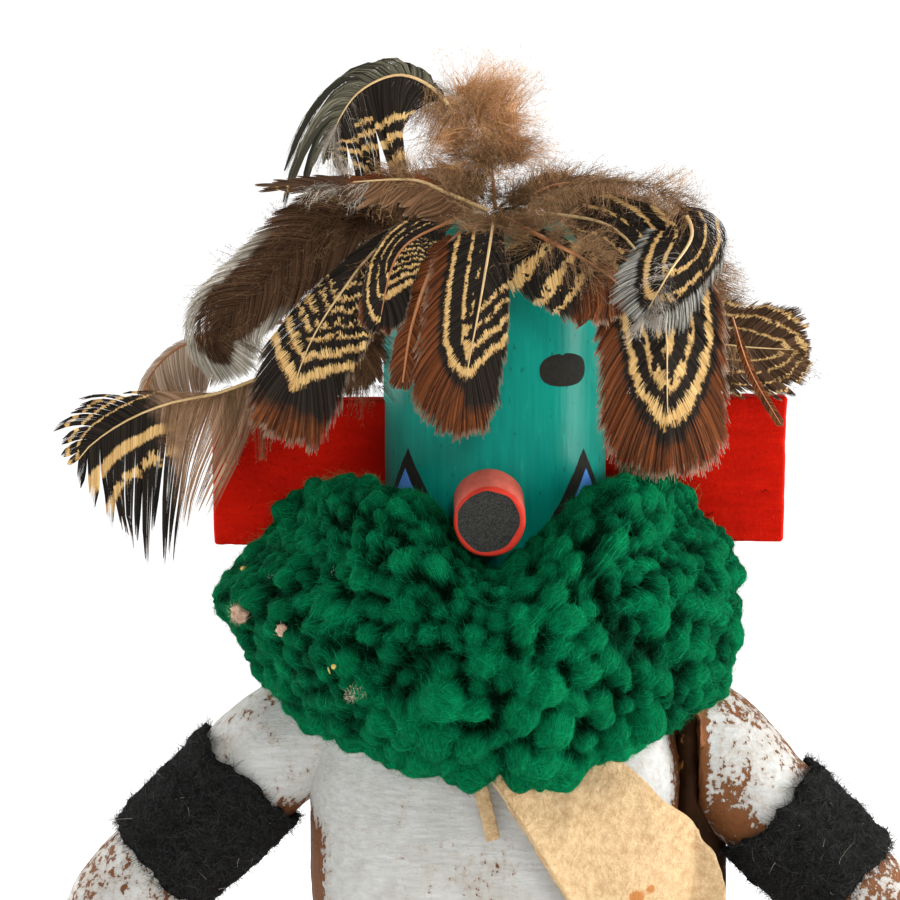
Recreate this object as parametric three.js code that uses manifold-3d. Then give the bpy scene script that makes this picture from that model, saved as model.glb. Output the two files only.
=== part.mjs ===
// Kachina doll: a carved and painted wooden figure on a low plinth, with a case mask, a tube snout and
// block ears, a yarn ruff, felt armbands, a leather shoulder panel and kilt, and a crown of feathers.
// Millimetres, +Z up, the doll faces -Y. The origin is the middle of the plinth's underside.
import * as THREE from "three";
import { mergeVertices } from "three/addons/utils/BufferGeometryUtils.js";
import Module from "manifold-3d";

const wasm = await Module();
wasm.setup();

// ---------------------------------------------------------------- driving sizes

const GAP = 0.35; // air left between pieces that touch
const plinth = { width: 116, depth: 84, height: 12, corner: 22, bevel: 1.6 };
const crownZ = 324;
const mask = { radius: 26.3, chinZ: 243, chinRound: 5, crownRound: 9 };
const snout = { radius: 8.1, reach: 21, droop: 5, z: 260.5, x: -1.4, edge: 0.5 };
const ear = { height: 34.2, thick: 9, edge: 0.7, taper: 1.2, inset: 6 };
const EAR_SIDES = { left: { width: 40.1, z: 265.4 }, right: { width: 41.9, z: 266.1 } };
const hipsZ = 96;
const soleZ = plinth.height + GAP;

// The carved body from hips to neck: height, half width, half depth, shift forward of the middle.
const TORSO_ROWS = [
  [hipsZ, 33, 21, 0],
  [112, 37, 24, 0],
  [126, 36.5, 23.5, 0],
  [148, 41, 25.5, -0.5],
  [172, 43.6, 26.8, -1],
  [196, 44, 26.8, -1],
  [210, 41.5, 24.5, -0.5],
  [224, 31, 20.5, 0],
  [233, 19, 17, 0],
  [mask.chinZ + 4, 16, 16, 0],
];
const TORSO_POWER = 2.7; // squareness of the torso's plan

const leg = { spread: 18, kneeZ: 56, ankleZ: 26, hip: 15.5, knee: 12.4, calf: 13.2, ankle: 10.6 };
const foot = { length: 44, halfWidth: 12, height: 18, heelY: 14 };

// The arm's centreline for the +X side, and its radius at each point.
const ARM_LINE = [
  [38, 0, 207, 15],
  [52, -1, 199, 14.4],
  [64, -1.5, 187, 13.4],
  [77, -2, 174.5, 12.7],
  [89, -4, 161, 12.6],
  [91.5, -14, 147, 11.2],
  [86.5, -26, 135, 9.4],
  [82, -34, 127.5, 10.6],
  [79.5, -39, 122.5, 9.6],
];
const FIST_END = 3.5; // how far the rounded knuckles run past the last point
const ARM_SHIFT = { left: [0, 0], right: [-0.8, 0.1] }; // the two arms are set a little unevenly, in x and z
const armCrack = { reach: 47.8, topZ: 211 }; // open joint beside the chest under the right shoulder

// Felt bands: share of the arm's line where they start and end.
const band = { thick: 2.6, left: [0.185, 0.4], right: [0.267, 0.445] };

const kilt = { topZ: 129, hemZ: 66, waist: [40.4, 27.6], hem: [49, 35], thick: 1.6, power: 2.7 };

// The yarn ruff: a ring round the neck. radial and high are its half sizes, dip is the sag at the throat.
const ruff = {
  ringX: 41, ringY: 40, ringBack: -2, backZ: 238, sideZ: 236, dip: 14, dipAngle: 0.62,
  radial: 20.3, backRadial: 16, high: 31, frontHigh: 27, backHigh: 24,
};

// The shoulder leather: corners of its two long edges as x, z, from the neck down.
const PANEL_LEFT_EDGE = [[-6, 206], [8, 184.5], [20, 164], [30, 143]];
const PANEL_RIGHT_EDGE = [[24, 206], [41, 190], [52.5, 177], [54, 146]];
const panel = { thick: 1.4, lift: 1.5, curl: 1.8 };
const lace = { top: [-5.2, 203], bottom: [-0.6, 183.5], halfWidth: 1.9, thick: 1.5, lift: 0.7 };

// Feathers. quill: points in mm from the middle of the crown. width: the vane's reach on its two sides,
// across the quill. facing: where the good side looks. fold: how far both sides of the vane hang from
// the quill, in degrees. down: half thickness of the fluffy part at the root.
const vaneThick = 0.9;
const FEATHERS = {
  crest_barred: {
    quill: [[-1, -3, 3], [-8, -6, 18.5], [-15.5, -8, 32], [-27, -9, 34], [-38, -10, 25.5], [-44.5, -10.5, 9]],
    width: [19, 19], facing: [0, -0.25, 1], fold: 66, down: 1,
  },
  crest_down: {
    quill: [[0, 1, 3], [-0.5, 1, 14], [-2, 0, 26], [-6.5, 0, 38.5]],
    width: [12, 12], facing: [0, -1, 0.1], fold: 0, down: 6.5,
  },
  brow_left: {
    quill: [[-2, -11, 2.8], [-13, -15, 7.8], [-27, -17, 9.7], [-53, -19, 8.3]],
    width: [9.5, 2.6], facing: [0, -1, 0.5], fold: 0, down: 0.8,
  },
  brow_centre: {
    quill: [[-0.5, -13, 1.5], [-1.5, -29.6, -3.6], [-4, -34.5, -18], [-7, -35, -35], [-7.6, -33, -47.5]],
    width: [8, 13], facing: [0, -1, 0.35], fold: 4, down: 0.5,
  },
  brow_right: {
    quill: [[1.5, -12, 1.2], [12, -27.5, -3.4], [21, -30, -8.2], [28, -29.5, -13.5]],
    width: [2.6, 14.5], facing: [0.3, -1, 0.3], fold: 0, down: 0.5,
  },
  brow_rust: {
    quill: [[-3.5, -12, 1.6], [-13.4, -28.6, -7.5], [-18.8, -30.6, -21], [-21.5, -30.6, -37]],
    width: [4, 5], facing: [-0.4, -1, 0.3], fold: 0, down: 0.4,
  },
  ear_right_large: {
    quill: [[9, -9, 2.6], [27, -20, -1], [37, -29, -16], [39.6, -32, -40], [40.4, -31, -57]],
    width: [14.5, 12.5], facing: [0.1, -1, 0.25], fold: 8, down: 1,
  },
  temple_right_curl: {
    quill: [[8, -6, 6], [30, -15, 8.5], [42.5, -26, 2], [41, -36, -9.5], [36, -38, -23]],
    width: [8, 11], facing: [0.1, -1, 0.4], fold: 8, down: 1,
  },
  side_right: {
    quill: [[26, -3, -18], [41, -8, -28], [56, -10, -31], [73, -10, -31.4]],
    width: [13, 8.5], facing: [0, -1, 0.2], fold: 4, down: 1.5,
  },
  crown_right_down: {
    quill: [[4, 2, 3.5], [16, 4, 9.5], [34, 5, 5], [46, 4, -8], [52, 2, -26]],
    width: [8.5, 8.5], facing: [0.45, -0.2, 1], fold: 10, down: 6,
  },
  sliver_right: {
    quill: [[55.5, -21, -21], [59.5, -22, -33], [66, -21, -46]],
    width: [1.5, 1.7], facing: [0, -1, 0.2], fold: 0, down: 0.2,
  },
  temple_left_large: {
    quill: [[-11, -13, 1.4], [-26, -20, -4.5], [-35.5, -25, -15.5], [-42.5, -27, -27], [-50, -27, -49]],
    width: [11.5, 11.5], facing: [-0.3, -1, 0.3], fold: 6, down: 0.6,
  },
  temple_left_small: {
    quill: [[-8, -14, 1.6], [-22, -27, -6], [-27, -30.5, -24]],
    width: [5.5, 5.5], facing: [-0.4, -1, 0.3], fold: 0, down: 0.4,
  },
  temple_left_brown: {
    quill: [[-21, -12, -3], [-30.5, -16, -19], [-31, -15, -36]],
    width: [6, 6], facing: [-0.6, -1, 0.2], fold: 0, down: 1,
  },
  curl_left: {
    quill: [[-11, -4, 3.5], [-36, -5, 1], [-57, -8, -16], [-67, -10, -27], [-63, -12, -36]],
    width: [9, 9], facing: [-0.5, -0.5, 0.8], fold: 14, down: 6,
  },
  side_left_far: {
    quill: [[-33, -3, -30], [-53, -6, -35.6], [-67, -9, -39.8], [-86, -11, -46], [-107, -11, -53]],
    width: [22, 10.5], facing: [0, -1, 0.2], fold: 4, down: 1.6,
  },
  side_left_back: {
    quill: [[-50, 6, -24], [-65, 6, -30], [-75, 5, -37], [-78.5, 4, -46]],
    width: [7, 7], facing: [-0.3, -1, 0.3], fold: 0, down: 1.4,
  },
  back_centre: {
    quill: [[0, 9, 2.6], [2, 27, 0], [3, 37, -18], [2, 37, -47]],
    width: [12, 12], facing: [0, 1, 0.35], fold: 8, down: 1.5,
  },
  back_left: {
    quill: [[-8, 7, 2.8], [-22, 20, 0], [-33, 28, -16], [-40, 27, -43]],
    width: [12, 12], facing: [-0.7, 1, 0.35], fold: 8, down: 1.5,
  },
  back_right: {
    quill: [[8, 7, 2.8], [22, 20, 1], [34, 27, -16], [41, 25, -41]],
    width: [12, 12], facing: [0.7, 1, 0.35], fold: 8, down: 1.5,
  },
  back_crest: {
    quill: [[-3, 5, 5], [-10, 20, 12], [-14, 36, 8], [-17, 45, -8]],
    width: [11, 11], facing: [-0.1, 0.7, 1], fold: 12, down: 4.5,
  },
  back_crest_right: {
    quill: [[4, 6, 5], [15, 22, 10], [22, 37, 3], [27, 43, -14]],
    width: [10, 10], facing: [0.2, 0.7, 1], fold: 12, down: 4,
  },
};

// ---------------------------------------------------------------- shape tools

const vec = (x, y, z) => new THREE.Vector3(x, y, z);
const smooth = (t) => t * t * (3 - 2 * t);

// A closed mesh as a solid for cutting and joining, its faces turned outwards.
function solidOf(geometry) {
  const bare = geometry.clone();
  bare.deleteAttribute("normal");
  bare.deleteAttribute("uv");
  const merged = mergeVertices(bare, 1e-4);
  const faces = [];
  for (let i = 0; i < merged.index.count; i += 3) {
    const [a, b, c] = [0, 1, 2].map((k) => merged.index.getX(i + k));
    if (a !== b && b !== c && c !== a) faces.push([a, b, c]);
  }
  const build = (triangles) => new wasm.Manifold(new wasm.Mesh({
    numProp: 3,
    vertProperties: merged.attributes.position.array,
    triVerts: new Uint32Array(triangles.flat()),
  }));
  const made = build(faces);
  return made.volume() > 0 ? made : build(faces.map(([a, b, c]) => [a, c, b]));
}

function geometryOf(solid) {
  const { vertProperties, triVerts } = solid.getMesh();
  const geometry = new THREE.BufferGeometry();
  geometry.setAttribute("position", new THREE.BufferAttribute(new Float32Array(vertProperties), 3));
  geometry.setIndex(new THREE.BufferAttribute(new Uint32Array(triVerts), 1));
  geometry.computeVertexNormals();
  return geometry;
}

// Rings of equally many points, skinned into a closed solid. A loop joins its last ring to its first,
// and any other skin is capped at both ends.
function skin(rings, loop = false) {
  const count = rings[0].length;
  const points = rings.flat();
  const faces = [];
  const spans = loop ? rings.length : rings.length - 1;
  for (let i = 0; i < spans; i++) {
    const here = i * count;
    const next = ((i + 1) % rings.length) * count;
    for (let j = 0; j < count; j++) {
      const k = (j + 1) % count;
      faces.push(here + j, here + k, next + k, here + j, next + k, next + j);
    }
  }
  if (!loop) {
    [[0, true], [rings.length - 1, false]].forEach(([row, first]) => {
      const hub = points.length;
      points.push(rings[row].reduce((sum, p) => sum.add(p), vec(0, 0, 0)).divideScalar(count));
      for (let j = 0; j < count; j++) {
        const a = row * count + j;
        const b = row * count + ((j + 1) % count);
        faces.push(...(first ? [hub, b, a] : [hub, a, b]));
      }
    });
  }
  return solidOf(new THREE.BufferGeometry().setFromPoints(points).setIndex(faces));
}

// A profile of [radius, height] points turned about the Z axis.
function turned(profile, segments) {
  const points = profile.map(([radius, height]) => new THREE.Vector2(radius, height));
  return solidOf(new THREE.LatheGeometry(points, segments).rotateX(Math.PI / 2));
}

// One closed oval, squarer as power rises over 2, in the plane of two axes.
function oval(centre, axisU, axisV, reachU, reachV, count, power = 2) {
  return Array.from({ length: count }, (_, i) => {
    const angle = (i / count) * 2 * Math.PI;
    const along = (value) => Math.sign(value) * Math.abs(value) ** (2 / power);
    return centre.clone()
      .addScaledVector(axisU, reachU * along(Math.cos(angle)))
      .addScaledVector(axisV, reachV * along(Math.sin(angle)));
  });
}

const AXIS_X = vec(1, 0, 0);
const AXIS_Y = vec(0, 1, 0);
const AXIS_Z = vec(0, 0, 1);

// A stack of level ovals from rows of height, half width, half depth and shift along Y.
function stack(rows, count, power, grow = 0) {
  return skin(rows.map(([z, w, d, y = 0]) =>
    oval(vec(0, y, z), AXIS_X, AXIS_Y, w + grow, d + grow, count, power)));
}

function box(low, high) {
  const size = high.clone().sub(low);
  const geometry = new THREE.BoxGeometry(size.x, size.y, size.z);
  geometry.translate(...low.clone().add(high).multiplyScalar(0.5).toArray());
  return solidOf(geometry);
}

// What is left of a solid after cutting, without crumbs.
function largest(solid) {
  return solid.decompose().sort((a, b) => b.volume() - a.volume())[0];
}

const cutAll = (solid, cutters) => largest(cutters.reduce((left, cutter) => left.subtract(cutter), solid));

// ---------------------------------------------------------------- wood

function makePlinth() {
  const halfW = plinth.width / 2 - plinth.bevel;
  const halfD = plinth.depth / 2 - plinth.bevel;
  const shape = new THREE.Shape();
  const r = plinth.corner;
  shape.moveTo(-halfW + r, -halfD);
  [[halfW - r, -halfD + r, -90], [halfW - r, halfD - r, 0], [-halfW + r, halfD - r, 90],
    [-halfW + r, -halfD + r, 180]].forEach(([x, y, start]) => {
    const from = THREE.MathUtils.degToRad(start);
    shape.absarc(x, y, r, from, from + Math.PI / 2);
  });
  const geometry = new THREE.ExtrudeGeometry(shape, {
    depth: plinth.height - 2 * plinth.bevel, bevelThickness: plinth.bevel, bevelSize: plinth.bevel,
    bevelSegments: 1, curveSegments: 4,
  });
  geometry.translate(0, 0, plinth.bevel);
  return solidOf(geometry);
}

// The case mask: a turned cylinder with a rounded crown and chin.
function makeMask(grow = 0) {
  const radius = mask.radius + grow;
  const corner = (round) => [0, 30, 60, 90].map((degrees) => {
    const angle = THREE.MathUtils.degToRad(degrees);
    return [radius - round * (1 - Math.cos(angle)), round * (1 - Math.sin(angle))];
  });
  const chin = corner(mask.chinRound).map(([r, rise]) => [r, mask.chinZ - grow + rise]).reverse();
  const crown = corner(mask.crownRound).map(([r, drop]) => [r, crownZ + grow - drop]);
  return turned([[0, mask.chinZ - grow], ...chin, ...crown, [0, crownZ + grow]], 28);
}

function makeLeg(side) {
  const rows = [
    [hipsZ + 12, leg.hip], [hipsZ - 8, leg.hip], [leg.kneeZ + 10, leg.knee + 1], [leg.kneeZ, leg.knee],
    [leg.kneeZ - 14, leg.calf], [leg.ankleZ, leg.ankle], [soleZ, leg.ankle],
  ];
  return skin(rows.map(([z, r]) => oval(vec(side * leg.spread, 0, z), AXIS_X, AXIS_Y, r, r, 14)));
}

// A plain moccasin: ovals along its length, its sole cut flat.
function makeFoot(side) {
  const steps = 7;
  const rings = Array.from({ length: steps }, (_, i) => {
    const t = i / (steps - 1);
    const swell = Math.sin(Math.PI * (0.2 + 0.7 * t)) ** 0.5;
    const high = foot.height * (1 - 0.45 * smooth(t));
    const centre = vec(side * leg.spread, foot.heelY - foot.length * t, soleZ);
    return oval(centre, AXIS_X, AXIS_Z, foot.halfWidth * swell, high * swell, 12, 2.3);
  });
  const below = box(vec(-200, -200, -50), vec(200, 200, soleZ));
  return skin(rings).subtract(below);
}

const makeTorso = (grow = 0) => stack(TORSO_ROWS, 26, TORSO_POWER, grow);

// Mask, neck, torso, legs and feet are carved as one.
function makeBody() {
  const trunk = makeTorso().add(makeMask());
  return [-1, 1].reduce((joined, side) => joined.add(makeLeg(side)).add(makeFoot(side)), trunk);
}

// The snout is turned upright, then laid forward and tipped down a little.
function makeSnout(grow = 0) {
  const radius = snout.radius + grow;
  const reach = snout.reach + grow;
  const profile = [
    [0, -6], [radius, -6], [radius, reach - snout.edge], [radius - snout.edge, reach], [0, reach],
  ];
  return turned(profile, 28)
    .rotate([90 + snout.droop, 0, 0])
    .translate([snout.x, -mask.radius, snout.z]);
}

// A block ear, a little narrower at its lower edge, with its edges eased.
function makeEar(side, grow = 0) {
  const { width, z } = EAR_SIDES[side > 0 ? "right" : "left"];
  const inner = mask.radius - ear.inset;
  const outer = mask.radius + width + grow - ear.edge;
  const half = ear.height / 2 + grow - ear.edge;
  const shape = new THREE.Shape([
    new THREE.Vector2(side * inner, z - half), new THREE.Vector2(side * (outer - ear.taper), z - half),
    new THREE.Vector2(side * outer, z + half), new THREE.Vector2(side * inner, z + half),
  ]);
  const depth = ear.thick + 2 * grow - 2 * ear.edge;
  const geometry = new THREE.ExtrudeGeometry(shape, {
    depth, bevelThickness: ear.edge, bevelSize: ear.edge, bevelSegments: 1,
  });
  return solidOf(geometry.translate(0, 0, -depth / 2).rotateX(Math.PI / 2));
}

// ---------------------------------------------------------------- arms and bands

function armCurve(side) {
  const [outward, upward] = ARM_SHIFT[side > 0 ? "right" : "left"];
  const points = ARM_LINE.map(([x, y, z]) => vec(side * (x + outward), y, z + upward));
  return new THREE.CatmullRomCurve3(points, false, "centripetal");
}

// The arm's radius at a share of its line, read between the rows of ARM_LINE.
function armRadius(share) {
  const place = share * (ARM_LINE.length - 1);
  const row = Math.min(ARM_LINE.length - 2, Math.floor(place));
  return THREE.MathUtils.lerp(ARM_LINE[row][3], ARM_LINE[row + 1][3], smooth(place - row));
}

function armRing(side, share, grow, count) {
  const curve = armCurve(side);
  const along = curve.getTangent(share);
  const across = vec(0, 1, 0).cross(along).normalize();
  const out = along.clone().cross(across).normalize();
  const radius = armRadius(share) + grow;
  return oval(curve.getPoint(share), across, out, radius, radius, count, 2.2);
}

function armTube(side, from, to, steps, grow, count = 16) {
  const rings = Array.from({ length: steps + 1 }, (_, i) =>
    armRing(side, from + ((to - from) * i) / steps, grow, count));
  if (to === 1) {
    const along = armCurve(side).getTangent(1);
    const last = rings[steps];
    const hub = last.reduce((sum, p) => sum.add(p), vec(0, 0, 0)).divideScalar(last.length);
    rings.push(last.map((p) => p.clone().lerp(hub, 0.45).addScaledVector(along, FIST_END)));
  }
  return skin(rings);
}

const makeArm = (side, grow = 0) => armTube(side, 0, 1, 12, grow);

function makeBand(side, [from, to], grow = 0) {
  const outer = armTube(side, from, to, 3, band.thick + grow);
  return grow ? outer : outer.subtract(makeArm(side, GAP));
}

// ---------------------------------------------------------------- soft pieces

// The yarn ruff: a fat ring round the neck, low and slim at the throat, with a lobe on each side.
function makeRuff(grow = 0) {
  const steps = 27;
  const rings = Array.from({ length: steps }, (_, i) => {
    const angle = (i / steps) * 2 * Math.PI; // 0 is the throat
    const turned = angle > Math.PI ? angle - 2 * Math.PI : angle;
    const throat = Math.exp(-((turned / ruff.dipAngle) ** 2));
    const back = smooth(Math.max(0, (Math.abs(turned) / Math.PI - 0.45) / 0.55));
    const high = ruff.high - (ruff.high - ruff.frontHigh) * throat - (ruff.high - ruff.backHigh) * back;
    const radial = ruff.radial - (ruff.radial - ruff.backRadial) * back;
    const z = ruff.sideZ + (ruff.backZ - ruff.sideZ) * back - ruff.dip * throat;
    const out = vec(Math.sin(angle), -Math.cos(angle), 0);
    const centre = vec(ruff.ringX * out.x, ruff.ringY * out.y + ruff.ringBack, z);
    return oval(centre, out, AXIS_Z, radial + grow, high + grow, 12, 2.2);
  });
  return skin(rings, true);
}

// How far in front of the middle the torso's skin lies at a place.
function torsoFront(x, z) {
  const upper = Math.max(1, TORSO_ROWS.findIndex(([rowZ]) => rowZ >= z));
  const [z0, w0, d0] = TORSO_ROWS[upper - 1];
  const [z1, w1, d1] = TORSO_ROWS[upper];
  const t = (z - z0) / (z1 - z0);
  const width = THREE.MathUtils.lerp(w0, w1, t);
  const depth = THREE.MathUtils.lerp(d0, d1, t);
  const share = Math.min(0.93, Math.abs(x) / width);
  return depth * (1 - share ** TORSO_POWER) ** (1 / TORSO_POWER) + 1;
}

// A sheet laid on the chest between two edges given from top to bottom.
function chestSheet(left, right, { thick, lift, curl }, rows, columns, grow = 0) {
  const edge = (points, share) => {
    const place = share * (points.length - 1);
    const row = Math.min(points.length - 2, Math.floor(place));
    const [a, b] = [points[row], points[row + 1]];
    return [0, 1].map((k) => THREE.MathUtils.lerp(a[k], b[k], place - row));
  };
  const rings = Array.from({ length: rows + 1 }, (_, i) => {
    const [a, b] = [edge(left, i / rows), edge(right, i / rows)];
    const top = [];
    const under = [];
    for (let j = 0; j <= columns; j++) {
      const u = j / columns;
      const x = THREE.MathUtils.lerp(a[0], b[0], u) + (u - 0.5) * 2 * grow;
      const z = THREE.MathUtils.lerp(a[1], b[1], u) + (0.5 - i / rows) * 2 * grow;
      const y = -torsoFront(x * 0.88, z) - lift - curl * (1 - u) ** 3;
      top.push(vec(x, y - thick - grow, z));
      under.unshift(vec(x, y + grow, z));
    }
    return [...top, ...under];
  });
  return skin(rings);
}

const makePanel = (grow = 0) => chestSheet(PANEL_LEFT_EDGE, PANEL_RIGHT_EDGE, panel, 9, 6, grow);

function makeLace(grow = 0) {
  const side = (sign) => [lace.top, lace.bottom].map(([x, z]) => [x + sign * lace.halfWidth, z]);
  return chestSheet(side(-1), side(1), { thick: lace.thick, lift: lace.lift, curl: 0 }, 4, 1, grow);
}

function makeKilt() {
  const steps = 3;
  const wall = (inset) => Array.from({ length: steps + 1 }, (_, i) => {
    const t = i / steps;
    const z = THREE.MathUtils.lerp(kilt.topZ, kilt.hemZ, t);
    return [z, THREE.MathUtils.lerp(kilt.waist[0], kilt.hem[0], t ** 0.8) - inset,
      THREE.MathUtils.lerp(kilt.waist[1], kilt.hem[1], t ** 0.8) - inset];
  });
  const hollow = wall(kilt.thick);
  hollow[0][0] += 1;
  hollow[steps][0] -= 1;
  return stack(wall(0).reverse(), 26, kilt.power).subtract(stack(hollow.reverse(), 26, kilt.power));
}

// ---------------------------------------------------------------- feathers

// How much of its full width a vane has at a share of its quill.
function blade(s) {
  const tip = s < 0.8 ? 1 : Math.sqrt(Math.max(0.12, 1 - ((s - 0.8) / 0.21) ** 2));
  return Math.min(1, 0.22 + 2.4 * s) * tip;
}

function makeFeather({ quill, width, facing, fold, down }, grow = 0) {
  const steps = 8;
  const points = quill.map(([x, y, z]) => vec(x, y, z + crownZ));
  const curve = new THREE.CatmullRomCurve3(points, false, "centripetal");
  const face = vec(...facing).normalize();
  const bend = THREE.MathUtils.degToRad(fold);
  const rings = Array.from({ length: steps + 1 }, (_, i) => {
    const s = i / steps;
    const along = curve.getTangentAt(s);
    const up = face.clone().addScaledVector(along, -face.dot(along)).normalize();
    const across = along.clone().cross(up);
    const centre = curve.getPointAt(s).addScaledVector(along, (2 * s - 1) * grow);
    const half = vaneThick / 2 + grow;
    const core = half + down * Math.sin(Math.PI * Math.min(1, 0.1 + 0.9 * s)) ** 1.5;
    const wing = (sign, reach) => centre.clone()
      .addScaledVector(across, sign * Math.cos(bend) * reach)
      .addScaledVector(up, -Math.sin(bend) * reach);
    const low = wing(-1, width[0] * blade(s) + grow);
    const high = wing(1, width[1] * blade(s) + grow);
    return [
      low.clone().addScaledVector(up, half), centre.clone().addScaledVector(up, core),
      high.clone().addScaledVector(up, half), high.clone().addScaledVector(up, -half),
      centre.clone().addScaledVector(up, -core), low.clone().addScaledVector(up, -half),
    ];
  });
  return skin(rings);
}

// ---------------------------------------------------------------- assembly

const COLOURS = {
  white_paint: [0xd9d6cf, 0.75], red: [0xb81a0c, 0.5], yarn: [0x0b6b3c, 0.95],
  felt: [0x17181a, 0.95], leather: [0xe2c68d, 0.85], feather: [0x6b4a32, 0.8], plinth: [0x8a5a36, 0.7],
};

const doll = new THREE.Group();

// A nested group at a place given from the doll's origin.
function groupAt(x, y, z) {
  const group = new THREE.Group();
  group.position.set(x, y, z);
  doll.add(group);
  return group;
}

// Adds a piece, modelled where it stands on the doll, to a group.
function place(group, name, solid, colour) {
  const [hex, roughness] = COLOURS[colour];
  const mesh = new THREE.Mesh(
    geometryOf(solid.translate(group.position.clone().negate().toArray())),
    new THREE.MeshStandardMaterial({ color: hex, roughness, metalness: 0 }),
  );
  mesh.name = name;
  group.add(mesh);
}

const torsoSpace = makeTorso(GAP);
const maskSpace = makeMask(GAP);
const sides = [[-1, "left"], [1, "right"]];

place(doll, "plinth", makePlinth(), "plinth");
place(doll, "carved_body", makeBody(), "white_paint");
place(doll, "kilt", cutAll(makeKilt(), [torsoSpace]), "leather");

const face = groupAt(0, 0, snout.z);
place(face, "snout", cutAll(makeSnout(), [maskSpace]), "red");
for (const [side, name] of sides) {
  place(face, `ear_${name}`, cutAll(makeEar(side), [maskSpace]), "red");
}

const crack = box(vec(0, -60, 100), vec(armCrack.reach, 60, armCrack.topZ));
for (const [side, name] of sides) {
  const shoulder = groupAt(side * ARM_LINE[0][0], ARM_LINE[0][1], ARM_LINE[0][2]);
  const beside = side > 0 ? [torsoSpace, crack] : [torsoSpace];
  place(shoulder, `arm_${name}`, cutAll(makeArm(side), beside), "white_paint");
  place(shoulder, `armband_${name}`, cutAll(makeBand(side, band[name]), [torsoSpace]), "felt");
}

const earSpaces = sides.map(([side]) => makeEar(side, GAP));
const armSpaces = sides.map(([side]) => makeArm(side, GAP));
const bandSpaces = sides.map(([side, name]) => makeBand(side, band[name], GAP));
const chest = groupAt(0, 0, PANEL_LEFT_EDGE[0][1]);
place(chest, "shoulder_leather", cutAll(makePanel(), [torsoSpace, ...armSpaces, ...bandSpaces]), "leather");
place(chest, "lace_end", cutAll(makeLace(), [torsoSpace]), "leather");

const ruffNeighbours = [torsoSpace, maskSpace, makeSnout(GAP), makePanel(GAP), makeLace(GAP)];
ruffNeighbours.push(...earSpaces, ...armSpaces, ...bandSpaces);
place(groupAt(0, 0, ruff.sideZ), "yarn_ruff", cutAll(makeRuff(), ruffNeighbours), "yarn");

// Each feather gives way to the pieces and the feathers placed before it.
const headdress = groupAt(0, 0, crownZ);
const taken = [maskSpace, ...earSpaces, makeRuff(GAP)];
for (const [name, sizes] of Object.entries(FEATHERS)) {
  place(headdress, `feather_${name}`, cutAll(makeFeather(sizes), taken), "feather");
  taken.push(makeFeather(sizes, GAP));
}

export default doll;
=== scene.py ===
import bpy
import math
import numpy as np
from mathutils import Matrix, Vector, noise as mnoise
from mathutils.kdtree import KDTree


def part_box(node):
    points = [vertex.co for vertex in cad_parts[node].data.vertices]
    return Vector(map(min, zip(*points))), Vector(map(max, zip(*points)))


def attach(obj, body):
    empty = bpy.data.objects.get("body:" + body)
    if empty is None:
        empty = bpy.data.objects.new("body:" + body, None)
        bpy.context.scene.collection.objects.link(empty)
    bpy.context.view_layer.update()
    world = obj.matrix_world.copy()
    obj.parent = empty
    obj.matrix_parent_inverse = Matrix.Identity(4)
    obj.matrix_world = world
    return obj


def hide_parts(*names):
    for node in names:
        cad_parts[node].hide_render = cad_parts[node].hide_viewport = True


# The shapes are worked out in millimetres, and build() turns them into metres.
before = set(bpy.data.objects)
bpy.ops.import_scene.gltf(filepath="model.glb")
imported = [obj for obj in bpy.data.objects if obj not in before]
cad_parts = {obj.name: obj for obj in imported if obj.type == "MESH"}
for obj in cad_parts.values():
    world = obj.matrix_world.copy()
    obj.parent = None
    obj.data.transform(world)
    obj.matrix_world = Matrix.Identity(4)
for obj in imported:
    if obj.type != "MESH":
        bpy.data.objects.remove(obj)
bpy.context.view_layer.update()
MM = 0.001
MASK_R = 26.3
# The camera's distance, and how far its line of sight drops for each mm it goes.
CAMERA_FAR = 900
CAMERA_DROP = 0.1


# ---------------------------------------------------------------- mesh tools

def build(name, verts, faces, materials, slot, replaces=(), attrs=None, face_mats=None):
    """One mesh piece from arrays of points (mm) and faces, riding on the only body."""
    mesh = bpy.data.meshes.new(name)
    verts = np.asarray(verts, float).reshape(-1, 3) * MM
    groups = [np.asarray(f, np.int32) for f in (faces if isinstance(faces, list) else [faces]) if len(f)]
    loops = np.concatenate([g.ravel() for g in groups])
    sizes = np.concatenate([np.full(len(g), g.shape[1]) for g in groups])
    mesh.vertices.add(len(verts))
    mesh.vertices.foreach_set("co", verts.astype(np.float32).ravel())
    mesh.loops.add(len(loops))
    mesh.loops.foreach_set("vertex_index", loops)
    mesh.polygons.add(len(sizes))
    mesh.polygons.foreach_set("loop_start", np.concatenate([[0], np.cumsum(sizes)[:-1]]).astype(np.int32))
    mesh.polygons.foreach_set("use_smooth", np.full(len(sizes), True))
    if face_mats is not None:
        mesh.polygons.foreach_set("material_index", np.asarray(face_mats, np.int32))
    mesh.update(calc_edges=True)
    for key, values in (attrs or {}).items():
        values = np.asarray(values, np.float32)
        if values.ndim == 2:
            mesh.attributes.new(key, "FLOAT_VECTOR", "POINT").data.foreach_set("vector", values.ravel())
        else:
            mesh.attributes.new(key, "FLOAT", "POINT").data.foreach_set("value", values)
    for m in materials if isinstance(materials, (list, tuple)) else [materials]:
        mesh.materials.append(m)
    obj = bpy.data.objects.new(name, mesh)
    bpy.context.scene.collection.objects.link(obj)
    if replaces:
        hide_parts(*replaces)
    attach(obj, "root")
    return obj


def grid(rows, cols, loop_cols=False, loop_rows=False, offset=0):
    """Quads of a rows x cols lattice of points, optionally closed either way."""
    r = np.arange(rows if loop_rows else rows - 1)[:, None]
    c = np.arange(cols if loop_cols else cols - 1)[None, :]
    r2, c2 = (r + 1) % rows, (c + 1) % cols
    return np.stack([r * cols + c, r * cols + c2, r2 * cols + c2, r2 * cols + c], -1).reshape(-1, 4) + offset


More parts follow.
